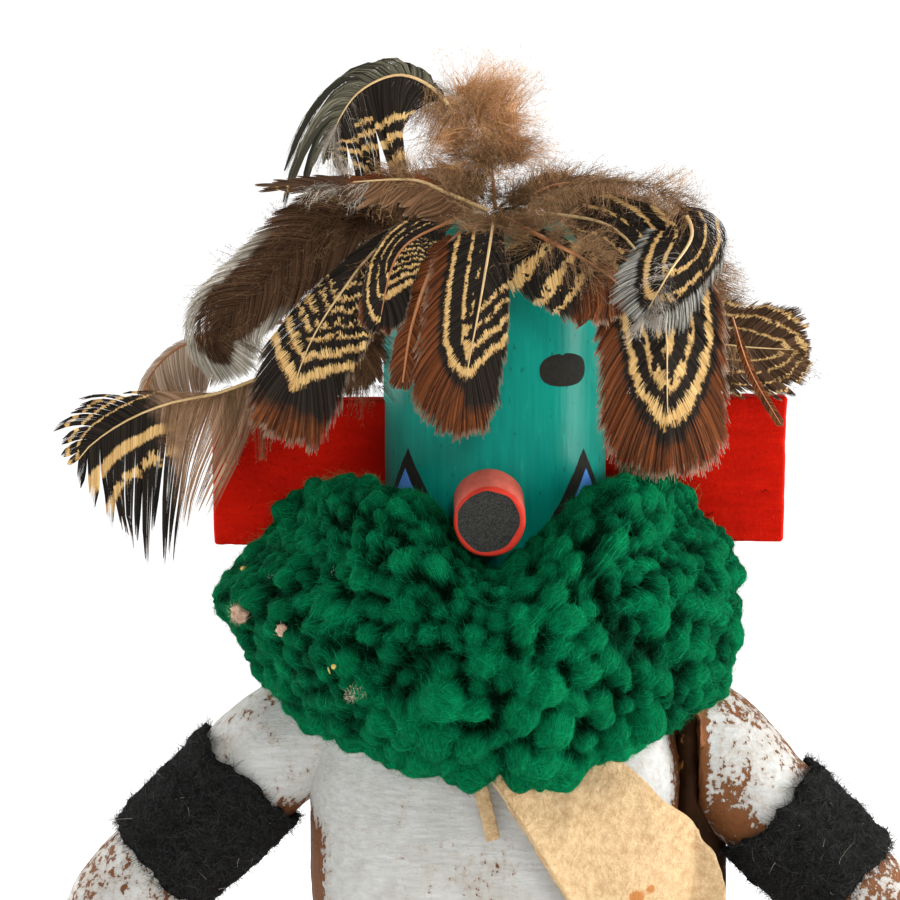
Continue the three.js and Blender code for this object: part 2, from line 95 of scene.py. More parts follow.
def many_grids(count, rows, cols):
    """Quads of many lattices whose points follow one another."""
    one = grid(rows, cols)
    return (one[None] + (np.arange(count) * rows * cols)[:, None, None]).reshape(-1, 4)


def unit(v):
    """Vectors scaled to length 1."""
    return v / np.maximum(np.linalg.norm(v, axis=-1, keepdims=True), 1e-9)


def around(n):
    """n angles evenly spaced round a full turn."""
    return np.linspace(0, 2 * np.pi, n, endpoint=False)


def oval(value, power):
    """A cosine or sine bent so that a circle becomes a rounder or squarer oval."""
    return np.sign(value) * np.abs(value) ** (2 / power)


def smooth01(t):
    """0 up to t = 0, 1 from t = 1, with an eased change between."""
    t = np.clip(t, 0, 1)
    return t * t * (3 - 2 * t)


def lumps(points, scale, seed=0.0, octaves=2):
    """Smooth noise from -1 to 1 at each point."""
    shift = Vector((seed * 17.3, seed * 5.1, seed * 9.7))
    flat = np.asarray(points, float).reshape(-1, 3) / scale
    out = np.fromiter((mnoise.fractal(Vector(p) + shift, 1.0, 2.0, octaves) for p in flat), float, len(flat))
    return out.reshape(np.shape(points)[:-1])


def spline(points, n):
    """Points evenly spaced on a centripetal Catmull-Rom curve."""
    p = np.asarray(points, float)
    p = np.vstack([2 * p[0] - p[1], p, 2 * p[-1] - p[-2]])
    out = []
    for i in range(1, len(p) - 2):
        p0, p1, p2, p3 = p[i - 1:i + 3]
        d = [max(np.linalg.norm(b - a) ** 0.5, 1e-6) for a, b in ((p0, p1), (p1, p2), (p2, p3))]
        m1 = ((p1 - p0) / d[0] - (p2 - p0) / (d[0] + d[1]) + (p2 - p1) / d[1]) * d[1]
        m2 = ((p2 - p1) / d[1] - (p3 - p1) / (d[1] + d[2]) + (p3 - p2) / d[2]) * d[1]
        t = np.linspace(0, 1, 60, endpoint=False)[:, None]
        out.append((2 * t**3 - 3 * t**2 + 1) * p1 + (t**3 - 2 * t**2 + t) * m1
                   + (-2 * t**3 + 3 * t**2) * p2 + (t**3 - t**2) * m2)
    out = np.vstack(out + [p[-2][None]])
    run = np.concatenate([[0], np.cumsum(np.linalg.norm(np.diff(out, axis=0), axis=1))])
    want = np.linspace(0, run[-1], n)
    return np.stack([np.interp(want, run, out[:, k]) for k in range(3)], -1), run[-1]


class Path:
    """A curve with a steady frame: along, up (towards facing) and across."""

    def __init__(self, points, facing=(0, -1, 0), n=160):
        self.p, self.length = spline(points, n)
        self.t = unit(np.gradient(self.p, axis=0))
        face = unit(np.asarray(facing, float))
        self.u = unit(face - self.t * (self.t @ face)[:, None])
        self.l = np.cross(self.t, self.u)
        self.n = n

    def at(self, s):
        s = np.asarray(s, float)
        x = np.clip(s, 0, 1) * (self.n - 1)
        i = np.minimum(x.astype(int), self.n - 2)
        f = (x - i)[..., None]
        mix = lambda a: a[i] * (1 - f) + a[i + 1] * f
        t, u, l = (unit(mix(a)) for a in (self.t, self.u, self.l))
        over = ((s - np.clip(s, 0, 1)) * self.length)[..., None]
        return mix(self.p) + t * over, t, u, l


def tube(path, radii, sides=8, s=None, squash=1.0):
    """Points of an open tube round a path, as rows x sides x 3."""
    s = np.linspace(0, 1, len(radii)) if s is None else s
    p, t, u, l = path.at(s)
    a = around(sides)[None, :]
    r = np.asarray(radii)[:, None]
    sideways, upward = (r * np.cos(a))[..., None], (squash * r * np.sin(a))[..., None]
    return p[:, None] + sideways * l[:, None] + upward * u[:, None]


def ribbons(line, side, width):
    """Flat strips along many lines. line (n, m, 3), side (n, m, 3) unit, width (n, m)."""
    half = side * width[..., None] / 2
    verts = np.stack([line - half, line + half], 2)
    n, m = line.shape[:2]
    return verts.reshape(-1, 3), many_grids(n, m, 2)


class Parts:
    """Collects pieces of one mesh with shared attributes and a material number each."""

    def __init__(self, *names):
        self.names, self.v, self.f, self.m, self.a, self.n = names, [], [], [], [], 0

    def add(self, verts, faces, mat=0, **attrs):
        """faces is one array or a list of them; an attribute is one number or one for each point."""
        verts = np.asarray(verts, float).reshape(-1, 3)
        self.v.append(verts)
        for group in faces if isinstance(faces, list) else [faces]:
            self.f.append(np.asarray(group, np.int64) + self.n)
            self.m.append(np.full(len(group), mat))
        values = {k: np.asarray(attrs.get(k, 0.0), float).ravel() for k in self.names}
        self.a.append({k: np.broadcast_to(v, len(verts)) for k, v in values.items()})
        self.n += len(verts)

    def build(self, name, materials, slot, **more):
        order = sorted(range(len(self.f)), key=lambda i: self.f[i].shape[1])
        faces, mats = [], []
        for size in sorted({self.f[i].shape[1] for i in order}):
            which = [i for i in order if self.f[i].shape[1] == size]
            faces.append(np.vstack([self.f[i] for i in which]))
            mats.append(np.concatenate([self.m[i] for i in which]))
        attrs = {k: np.concatenate([a[k] for a in self.a]) for k in self.names}
        return build(name, np.vstack(self.v), faces, materials, slot, attrs=attrs,
                     face_mats=np.concatenate(mats), **more)


# ---------------------------------------------------------------- material tools

class Shade:
    """A node material written as expressions."""

    def __init__(self, name, roughness=0.6, specular=0.4, sheen=0.0):
        self.mat = bpy.data.materials.new(name)
        self.mat.use_nodes = True
        self.tree = self.mat.node_tree
        self.bsdf = self.tree.nodes["Principled BSDF"]
        self.bsdf.inputs["Roughness"].default_value = roughness
        self.bsdf.inputs["Specular IOR Level"].default_value = specular
        if sheen:
            self.bsdf.inputs["Sheen Weight"].default_value = sheen
            self.bsdf.inputs["Sheen Roughness"].default_value = 0.4
        self.coord = self.node("ShaderNodeTexCoord", out="Object")

    def node(self, kind, ins=(), out=0, **props):
        n = self.tree.nodes.new(kind)
        for k, v in props.items():
            setattr(n, k, v)
        for k, v in (ins.items() if isinstance(ins, dict) else enumerate(ins)):
            if v is None:
                continue
            if isinstance(v, bpy.types.NodeSocket):
                self.tree.links.new(v, n.inputs[k])
            else:
                n.inputs[k].default_value = v
        return n.outputs[out]

    def math(self, op, a, b=None):
        return self.node("ShaderNodeMath", [a, b], operation=op)

    def add(self, a, b):
        return self.math("ADD", a, b)

    def sub(self, a, b):
        return self.math("SUBTRACT", a, b)

    def mul(self, a, b):
        return self.math("MULTIPLY", a, b)

    def top(self, a, b):
        return self.math("MAXIMUM", a, b)

    def low(self, a, b):
        return self.math("MINIMUM", a, b)

    def absolute(self, a):
        return self.math("ABSOLUTE", a)

    def power(self, a, b):
        return self.math("POWER", a, b)

    def hypot(self, a, b):
        return self.math("SQRT", self.add(self.power(a, 2.0), self.power(b, 2.0)))

    def ramp(self, x, a, b, low=0.0, high=1.0):
        """low below a, high above b."""
        return self.node("ShaderNodeMapRange", [x, a, b, low, high], interpolation_type="SMOOTHSTEP")

    def step(self, x, a, b):
        """0 at a and 1 at b, whichever is the smaller."""
        return self.ramp(x, a, b) if a < b else self.ramp(x, b, a, 1.0, 0.0)

    def attr(self, name):
        return self.node("ShaderNodeAttribute", out="Fac", attribute_name=name)

    def noise(self, scale, detail=3.0, rough=0.55, warp=0.0, vector=None):
        """Noise from 0 to 1. Object coordinates are in metres, so a scale of 1000 gives 1 mm features."""
        given = {"Vector": vector or self.coord, "Scale": scale, "Detail": detail, "Roughness": rough}
        return self.node("ShaderNodeTexNoise", {**given, "Distortion": warp}, out="Fac")

    def sway(self, scale, detail, rough):
        """The same noise about 0."""
        return self.sub(self.noise(scale, detail, rough), 0.5)

    def stretch(self, x, y, z, turn=(0, 0, 0)):
        """Object coordinates scaled along each axis, then turned. A low scale draws the pattern out."""
        return self.node("ShaderNodeMapping", {"Vector": self.coord, "Scale": (x, y, z), "Rotation": turn})

    def xyz(self):
        n = self.tree.nodes.new("ShaderNodeSeparateXYZ")
        self.tree.links.new(self.coord, n.inputs[0])
        return n.outputs

    def vec(self, x, y, z):
        return self.node("ShaderNodeCombineXYZ", [x, y, z])

    def mix(self, fac, a, b):
        n = self.tree.nodes.new("ShaderNodeMix")
        n.data_type = "RGBA"
        for k, v in ((0, fac), (6, a), (7, b)):
            if isinstance(v, bpy.types.NodeSocket):
                self.tree.links.new(v, n.inputs[k])
            else:
                n.inputs[k].default_value = (*v, 1.0) if isinstance(v, tuple) and len(v) == 3 else v
        return n.outputs[2]

    def done(self, colour, height=None, bump_mm=0.1, strength=1.0, rough=None):
        """Joins a colour, and a height as a bump of so many mm, to the shader."""
        self.tree.links.new(colour, self.bsdf.inputs["Base Color"])
        if height is not None:
            bump = self.node("ShaderNodeBump", {"Height": height, "Distance": bump_mm * MM,
                                                "Strength": strength}, out="Normal")
            self.tree.links.new(bump, self.bsdf.inputs["Normal"])
        if rough is not None:
            self.tree.links.new(rough, self.bsdf.inputs["Roughness"])
        return self.mat


# ---------------------------------------------------------------- materials

def worn_wood_colour(s):
    """Brown root wood where the paint has gone, with its grain upright."""
    grain = s.noise(260, 4, 0.6, vector=s.stretch(4, 4, 0.5))
    return s.mix(grain, (0.080, 0.026, 0.008), (0.25, 0.092, 0.028))


def mat_white_paint():
    """Brushed white paint; wear on the mesh and noise at three scales say where it is thin or gone."""
    s = Shade("worn_white_paint", roughness=0.68, specular=0.18)
    wear = s.attr("wear")
    broad = s.noise(38, 4, 0.6)
    fine = s.noise(620, 5, 0.68)
    flecks = s.noise(230, 5, 0.7, vector=s.stretch(1.6, 1.6, 0.8))
    large = s.add(s.mul(wear, 0.66), s.mul(broad, 0.10))
    amount = s.add(large, s.sub(s.mul(s.add(fine, flecks), 0.72), 0.30))
    bare = s.step(amount, 0.77, 0.80)
    thin = s.step(amount, 0.60, 0.80)
    wood = worn_wood_colour(s)
    brush = s.noise(420, 4, 0.6, vector=s.stretch(0.35, 1.8, 1.8, turn=(0, 0.55, 0)))
    dirt = s.noise(90, 5, 0.65)
    paint = s.mix(brush, (0.33, 0.33, 0.31), (0.63, 0.63, 0.61))
    paint = s.mix(s.mul(s.step(dirt, 0.46, 0.70), 0.75), paint, (0.40, 0.385, 0.345))
    paint = s.mix(s.mul(thin, 0.55), paint, (0.36, 0.27, 0.20))
    colour = s.mix(bare, paint, wood)
    height = s.add(s.mul(brush, 0.8), s.sub(s.mul(fine, 0.6), s.mul(bare, 0.7)))
    return s.done(colour, height, 0.45, 1.0)


def mat_turquoise():
    """The mask's paint, with the eyes and cheek marks laid out round it in mm."""
    s = Shade("turquoise_paint", roughness=0.3, specular=0.09, sheen=0.28)
    s.bsdf.inputs["Sheen Tint"].default_value = (0.45, 1.0, 0.92, 1)
    x, y, z = s.xyz()
    grain = s.noise(700, 4, 0.62, vector=s.stretch(1, 1, 0.10))
    cloud = s.noise(60, 3, 0.5)
    base = s.mix(grain, (0.0, 0.140, 0.104), (0.001, 0.285, 0.215))
    base = s.mix(s.mul(s.step(cloud, 0.40, 0.75), 0.45), base, (0.001, 0.130, 0.098))
    specks = s.step(s.noise(850, 2, 0.5, vector=s.stretch(1, 1, 0.45)), 0.66, 0.74)
    base = s.mix(s.mul(specks, 0.6), base, (0.002, 0.045, 0.034))
    pale = s.step(s.noise(600, 3, 0.6, vector=s.stretch(1, 1, 0.22)), 0.62, 0.80)
    base = s.mix(s.mul(pale, 0.30), base, (0.04, 0.38, 0.31))
    # across is the arc from the middle of the face, the same on both sides.
    across = s.absolute(s.mul(s.math("ARCTAN2", x, s.mul(y, -1.0)), MASK_R))
    up = s.mul(z, 1 / MM)
    wobble = s.mul(s.sway(350, 3, 0.5), 0.7)

    def inside(start, finish):
        """How far a place lies to the left of the line from start to finish, each (across, up)."""
        run, rise = finish[0] - start[0], finish[1] - start[1]
        size = math.hypot(run, rise)
        past = s.sub(s.mul(s.sub(across, start[0]), rise / size), s.mul(s.sub(up, start[1]), run / size))
        return s.mul(past, -1.0)

    # The cheek mark is a pointed arch: two black legs from one apex, blue between them.
    apex, outer_foot, inner_foot = (23.2, 272.6), (28.9, 264.0), (11.0, 253.6)
    outer_leg, inner_leg, blue_floor = 1.7, 3.4, 261.2
    out, inn = inside(outer_foot, apex), inside(apex, inner_foot)
    hollow = s.low(s.low(s.sub(out, outer_leg), s.sub(inn, inner_leg)), s.sub(up, blue_floor))
    black_mark = s.mul(s.step(s.add(s.low(out, inn), wobble), -0.1, 0.15), s.step(up, 248.0, 249.0))
    blue_mark = s.step(s.add(hollow, s.mul(wobble, 0.5)), 0.0, 0.25)
    # The eye is a wide oval with a small nick in its top edge.
    eye_across, eye_up, half_wide, half_tall, squareness = 16.8, 290.9, 6.9, 3.9, 2.4
    ex, ez = s.sub(across, eye_across), s.sub(up, eye_up)
    round_x, round_z = (s.power(s.absolute(s.mul(e, 1 / half)), squareness)
                        for e, half in ((ex, half_wide), (ez, half_tall)))
    within = s.sub(1.0, s.power(s.add(round_x, round_z), 0.5))
    nick = s.hypot(s.add(ex, 0.6), s.sub(ez, 4.3))
    eye = s.mul(s.step(s.add(within, s.mul(wobble, 0.09)), 0.0, 0.05), s.step(nick, 0.75, 0.95))
    ink = s.mix(s.noise(900, 3, 0.6), (0.006, 0.005, 0.004), (0.022, 0.018, 0.013))
    blue = s.mix(s.noise(400, 3, 0.6), (0.035, 0.15, 0.56), (0.13, 0.36, 0.86))
    colour = s.mix(eye, s.mix(blue_mark, s.mix(black_mark, base, ink), blue), ink)
    inked = s.top(eye, black_mark)
    height = s.add(s.mul(grain, 0.8), s.mul(inked, 0.3))
    rough = s.add(s.mul(inked, 0.5), s.add(0.24, s.mul(grain, 0.14)))
    return s.done(colour, height, 0.14, 0.75, rough=rough)


def mat_red_paint():
    s = Shade("red_paint", roughness=0.60, specular=0.03)
    wear = s.attr("wear")
    grain = s.noise(300, 5, 0.65, vector=s.stretch(0.35, 1, 1.6))
    mottled = s.noise(900, 4, 0.7)
    base = s.mix(grain, (0.31, 0.003, 0.0005), (0.58, 0.009, 0.0015))
    base = s.mix(s.mul(s.step(mottled, 0.50, 0.75), 0.65), base, (0.20, 0.003, 0.001))
    bright = s.step(s.noise(1100, 3, 0.7), 0.62, 0.76)
    base = s.mix(s.mul(bright, 0.5), base, (0.86, 0.06, 0.02))
    pits = s.step(s.noise(420, 3, 0.6, vector=s.stretch(0.6, 1, 1)), 0.68, 0.75)
    base = s.mix(s.mul(pits, 0.6), base, (0.11, 0.004, 0.002))
    edge = s.step(s.add(wear, s.mul(s.sway(500, 4, 0.7), 0.9)), 0.72, 0.90)
    colour = s.mix(s.mul(edge, 0.8), base, (0.56, 0.36, 0.27))
    return s.done(colour, s.sub(s.add(s.mul(grain, 0.5), s.mul(mottled, 0.5)), s.mul(pits, 0.6)), 0.30, 0.9)


def mat_snout_side():
    s = Shade("snout_red", roughness=0.65, specular=0.2)
    streak = s.noise(500, 4, 0.6, vector=s.stretch(1, 0.25, 1))
    base = s.mix(streak, (0.38, 0.045, 0.026), (0.66, 0.145, 0.10))
    forward = s.mul(s.xyz()[1], -1 / MM)
    rim = s.step(forward, 45.4, 46.4)
    colour = s.mix(rim, base, s.mix(streak, (0.36, 0.012, 0.005), (0.54, 0.035, 0.014)))
    return s.done(colour, streak, 0.1, 0.6)


def mat_black_disc():
    s = Shade("snout_black", roughness=0.9, specular=0.12)
    rings = s.noise(2600, 3, 0.6)
    colour = s.mix(s.step(rings, 0.30, 0.80), (0.014, 0.014, 0.013), (0.052, 0.052, 0.046))
    return s.done(colour, rings, 0.18, 0.9)


def mat_yarn():
    s = Shade("green_yarn", roughness=1.0, specular=0.04)
    deep, strand, tone = s.attr("deep"), s.attr("strand"), s.attr("tone")
    place = s.vec(s.mul(s.attr("round"), 30.0), s.mul(strand, 0.55), s.mul(tone, 50.0))
    fibre = s.noise(1.0, 4, 0.7, vector=place)
    base = s.mix(s.step(fibre, 0.30, 0.72), (0.0, 0.038, 0.012), (0.001, 0.215, 0.075))
    base = s.mix(s.mul(s.step(tone, 0.5, 1.0), 0.25), base, (0.0, 0.17, 0.06))
    # Painted shade: deep turns the yarn near black in the creases between the lumps.
    colour = s.mix(s.step(deep, 0.12, 0.70), base, (0.0, 0.010, 0.004))
    return s.done(colour, fibre, 0.5, 1.0)


def mat_fibre(name, dark, light, shade_colour):
    """Loose yarn fibres: tone for each fibre, and painted shade towards shade_colour where deep says it lies
    down between the tufts.
    """
    s = Shade(name, roughness=0.9, specular=0.05)
    colour = s.mix(s.attr("tone"), dark, light)
    return s.done(s.mix(s.step(s.attr("deep"), 0.20, 0.85), colour, shade_colour))


def mat_fuzz(name, dark, light):
    s = Shade(name, roughness=0.9, specular=0.15)
    return s.done(s.mix(s.attr("tone"), dark, light))


def mat_felt():
    s = Shade("black_felt", roughness=0.97, specular=0.05)
    hairs = s.noise(900, 5, 0.75, warp=1.5)
    pills = s.noise(260, 3, 0.6)
    colour = s.mix(s.step(hairs, 0.3, 0.7), (0.002, 0.002, 0.002), (0.022, 0.022, 0.021))
    colour = s.mix(s.mul(s.step(pills, 0.55, 0.8), 0.5), colour, (0.036, 0.036, 0.034))
    return s.done(colour, s.add(hairs, s.mul(pills, 0.8)), 0.7, 1.0)


def mat_leather():
    s = Shade("pale_leather", roughness=0.95, specular=0.1)
    nap = s.noise(520, 5, 0.72)
    pores = s.noise(1300, 3, 0.7)
    cloud = s.noise(55, 3, 0.5)
    base = s.mix(s.step(nap, 0.25, 0.75), (0.39, 0.235, 0.105), (0.66, 0.475, 0.275))
    base = s.mix(s.mul(cloud, 0.4), base, (0.60, 0.435, 0.245))
    flecks = s.step(s.noise(260, 3, 0.6, vector=s.stretch(1.6, 1, 0.6, turn=(0, 0.5, 0))), 0.64, 0.76)
    base = s.mix(s.mul(flecks, 0.65), base, (0.46, 0.25, 0.085))
    stain = s.step(s.add(s.attr("stain"), s.mul(s.sway(240, 4, 0.7), 0.9)), 0.55, 0.8)
    base = s.mix(s.mul(stain, 0.85), base, (0.40, 0.13, 0.025))
    return s.done(base, s.add(nap, s.mul(pores, 0.4)), 0.75, 1.0)


def mat_bare_wood():
    s = Shade("bare_wood", roughness=0.66, specular=0.3)
    along_x = s.stretch(0.12, 1, 1, turn=(0, 0, 1.571))
    rings = s.node("ShaderNodeTexWave", {"Vector": along_x, "Scale": 70.0, "Distortion": 3.0, "Detail": 3.0,
                                         "Detail Scale": 1.2}, out="Fac")
    grain = s.noise(420, 5, 0.65, vector=s.stretch(0.12, 1, 1))
    colour = s.mix(rings, (0.16, 0.075, 0.035), (0.34, 0.18, 0.09))
    colour = s.mix(s.mul(grain, 0.5), colour, (0.11, 0.05, 0.025))
    return s.done(colour, s.add(s.mul(rings, 0.4), grain), 0.15, 0.7)


def mat_glue_and_crack_shade():
    """Split wood with drips of amber glue, seen down the crack; its near-black colour is painted shade."""
    s = Shade("glue_and_crack_shade", roughness=0.7, specular=0.04)
    grain = s.noise(500, 4, 0.7, vector=s.stretch(1, 1, 0.25))
    wood = s.mix(grain, (0.006, 0.003, 0.002), (0.060, 0.026, 0.011))
    glue = s.step(s.noise(160, 3, 0.6, vector=s.stretch(1, 1, 0.6)), 0.60, 0.66)
    return s.done(s.mix(glue, wood, (0.50, 0.22, 0.05)), s.noise(400, 3, 0.6), 0.3, 1.0)


def mat_moccasin():
    s = Shade("moccasin_paint", roughness=0.6, specular=0.35)
    grain = s.noise(500, 4, 0.65)
    base = s.mix(grain, (0.003, 0.20, 0.165), (0.010, 0.30, 0.245))
    bare = s.step(s.add(s.noise(160, 4, 0.65), s.mul(grain, 0.3)), 0.78, 0.84)
    return s.done(s.mix(bare, base, worn_wood_colour(s)), grain, 0.15, 0.7)


BARB_SHADES = {
    "black": ((0.004, 0.0035, 0.003), (0.030, 0.022, 0.016)),
    "buff": ((0.42, 0.235, 0.075), (0.74, 0.50, 0.21)),
    "rust": ((0.030, 0.008, 0.003), (0.200, 0.060, 0.018)),
    "brown": ((0.055, 0.026, 0.012), (0.230, 0.120, 0.060)),
    "grey": ((0.025, 0.024, 0.020), (0.52, 0.50, 0.44)),
    "olive": ((0.010, 0.010, 0.007), (0.170, 0.155, 0.105)),
    "tan": ((0.12, 0.062, 0.032), (0.42, 0.26, 0.16)),
    "umber": ((0.020, 0.010, 0.005), (0.125, 0.066, 0.036)),
    "cream": ((0.26, 0.165, 0.100), (0.66, 0.52, 0.39)),
    "pale_edge": ((0.20, 0.175, 0.135), (0.68, 0.63, 0.53)),
}


def mat_vane(name, plus=(), minus=(), ground="black", rim="rust", rim_from=1.16, by_barb=False,
             plus_ground=None, brown_to=0.0, tip_brown=0.55, grey_edge=False):
    """A feather vane. The barbs carry s along the shaft, t across it, v along the barb, and a tone.

    plus and minus list the pale lines on each side. (reach, shoulder, tip, half, gaps) is a U that runs
    along the shaft at that reach, then turns in at the shoulder and meets the shaft at the tip.
    (place, slope, half, gaps) is a bar across, measured along the barb where by_barb is set. Past the
    outermost U, or past rim_from along the shaft where there is none, the rim colour takes over.
    """
    s = Shade(name, roughness=0.65, specular=0.06)
    shaft_way, signed, tone, v = s.attr("s"), s.attr("t"), s.attr("tone"), s.attr("v")
    along = v if by_barb else shaft_way
    across = s.absolute(signed)
    right = s.step(signed, 0.01, -0.01)
    wobble = s.sway(260, 3, 0.65)
    jag = s.sub(tone, 0.5)
    shades = {key: s.mix(tone, dark, light) for key, (dark, light) in BARB_SHADES.items()}
    breaks = s.noise(1.0, 2, 0.5, vector=s.vec(s.mul(along, 34.0), s.mul(signed, 9.0), 3.7))

    def side_mask(lines):
        """Where one side has pale lines, and the measure that is 1 along its outermost U."""
        mask, outer = None, None
        for *shape, half, gaps in lines:
            if len(shape) == 3:
                reach, shoulder, tip = shape
                in_turn = s.top(s.mul(s.sub(along, shoulder), 1 / (tip - shoulder)), 0.0)
                q = s.hypot(s.mul(across, 1 / reach), in_turn)
                q = s.add(s.add(q, s.mul(wobble, 0.27)), s.mul(jag, 0.075))
                outer = q if outer is None else outer
                q = s.sub(q, 1.0)
            else:
                place, slope = shape
                q = s.add(s.sub(along, place), s.mul(across, slope))
                q = s.add(q, s.add(s.mul(wobble, 0.085), s.mul(jag, 0.022)))
            one = s.step(s.absolute(q), half, half * 0.6)
            if gaps:
                one = s.mul(one, s.step(breaks, 0.30 + 0.25 * gaps, 0.38 + 0.25 * gaps))
            mask = one if mask is None else s.top(mask, one)
        return mask or 0.0, outer

    def pick(on_plus, on_minus):
        return s.add(s.mul(s.sub(1.0, right), on_plus), s.mul(right, on_minus))

    def past(outer):
        if outer is None:
            return s.step(s.add(along, s.mul(wobble, 0.1)), rim_from - 0.3, rim_from - 0.24)
        return s.step(outer, rim_from, rim_from + 0.12)

    plus_mask, plus_outer = side_mask(plus)
    minus_mask, minus_outer = side_mask(minus)
    rimmed = pick(past(plus_outer), past(minus_outer))
    under = s.mix(right, shades[plus_ground or ground], shades[ground])
    colour = s.mix(rimmed, under, shades[rim])
    slant = s.mul(s.sub(along, s.mul(across, 0.35)), 60.0)
    streak = s.step(s.noise(1.0, 2, 0.5, vector=s.vec(slant, 1.3, 0.0)), 0.5, 0.62)
    colour = s.mix(s.mul(s.mul(rimmed, streak), 0.45), colour, shades["black"])
    colour = s.mix(pick(plus_mask, minus_mask), colour, shades["buff"])
    if tip_brown:
        tip = s.step(s.add(v, s.mul(wobble, 0.30)), 0.90, 1.02)
        colour = s.mix(s.mul(tip, tip_brown), colour, (0.34, 0.24, 0.17))
    if grey_edge:
        # A pale band round the rolled edge, on the plus side and across the tip.
        round_tip = pick(1.0, s.step(shaft_way, 0.60, 0.78))
        band = s.step(s.add(v, s.mul(wobble, 0.35)), 0.60, 0.74)
        band = s.mul(band, s.mul(round_tip, s.step(shaft_way, 0.48, 0.64)))
        colour = s.mix(s.mul(band, 0.9), colour, shades["pale_edge"])
    root = s.mul(s.step(s.add(shaft_way, s.mul(wobble, 0.2)), 0.20, 0.06), 0.85)
    colour = s.mix(root, colour, shades["brown"])
    if brown_to:
        soft = s.step(s.add(shaft_way, s.mul(wobble, 0.12)), brown_to + 0.05, brown_to - 0.05)
        colour = s.mix(soft, colour, shades["tan"])
    return s.done(colour)


def mat_shaft(name, dark, light):
    s = Shade(name, roughness=0.4, specular=0.5)
    return s.done(s.mix(s.noise(300, 3, 0.6), dark, light))


WHITE = mat_white_paint()
TURQ = mat_turquoise()
RED = mat_red_paint()
MOCCASIN = mat_moccasin()
GLUE_AND_SHADE = mat_glue_and_crack_shade()
SNOUT = mat_snout_side()
DISC = mat_black_disc()
YARN = mat_yarn()
# The last colour of yarn_fuzz is painted shade, for fibres lying in the creases between the tufts.
YARN_FUZZ = mat_fibre("yarn_fuzz", (0.0, 0.065, 0.022), (0.002, 0.345, 0.122), (0.0, 0.008, 0.003))
FELT = mat_felt()
FELT_FUZZ = mat_fuzz("felt_fuzz", (0.002, 0.002, 0.002), (0.052, 0.052, 0.049))
LINT = mat_fuzz("lint", (0.38, 0.29, 0.20), (0.72, 0.62, 0.50))
BURR = mat_fuzz("burr", (0.30, 0.17, 0.11), (0.62, 0.44, 0.33))
STRAW = mat_fuzz("straw", (0.40, 0.29, 0.06), (0.70, 0.55, 0.18))
LEATHER = mat_leather()
WOOD = mat_bare_wood()
SOFT = {"brown": mat_fuzz("brown_down", (0.070, 0.034, 0.015), (0.44, 0.26, 0.13)),
        "tan": mat_fuzz("tan_down", (0.25, 0.115, 0.042), (0.80, 0.47, 0.22)),
        "dark": mat_fuzz("dark_down", (0.035, 0.017, 0.008), (0.270, 0.150, 0.078)),
        "grey": mat_fuzz("grey_down", (0.10, 0.078, 0.058), (0.52, 0.46, 0.38))}
SHAFT_PALE = mat_shaft("shaft_pale", (0.42, 0.25, 0.09), (0.74, 0.53, 0.26))
SHAFT_RUST = mat_shaft("shaft_rust", (0.22, 0.065, 0.018), (0.58, 0.24, 0.08))

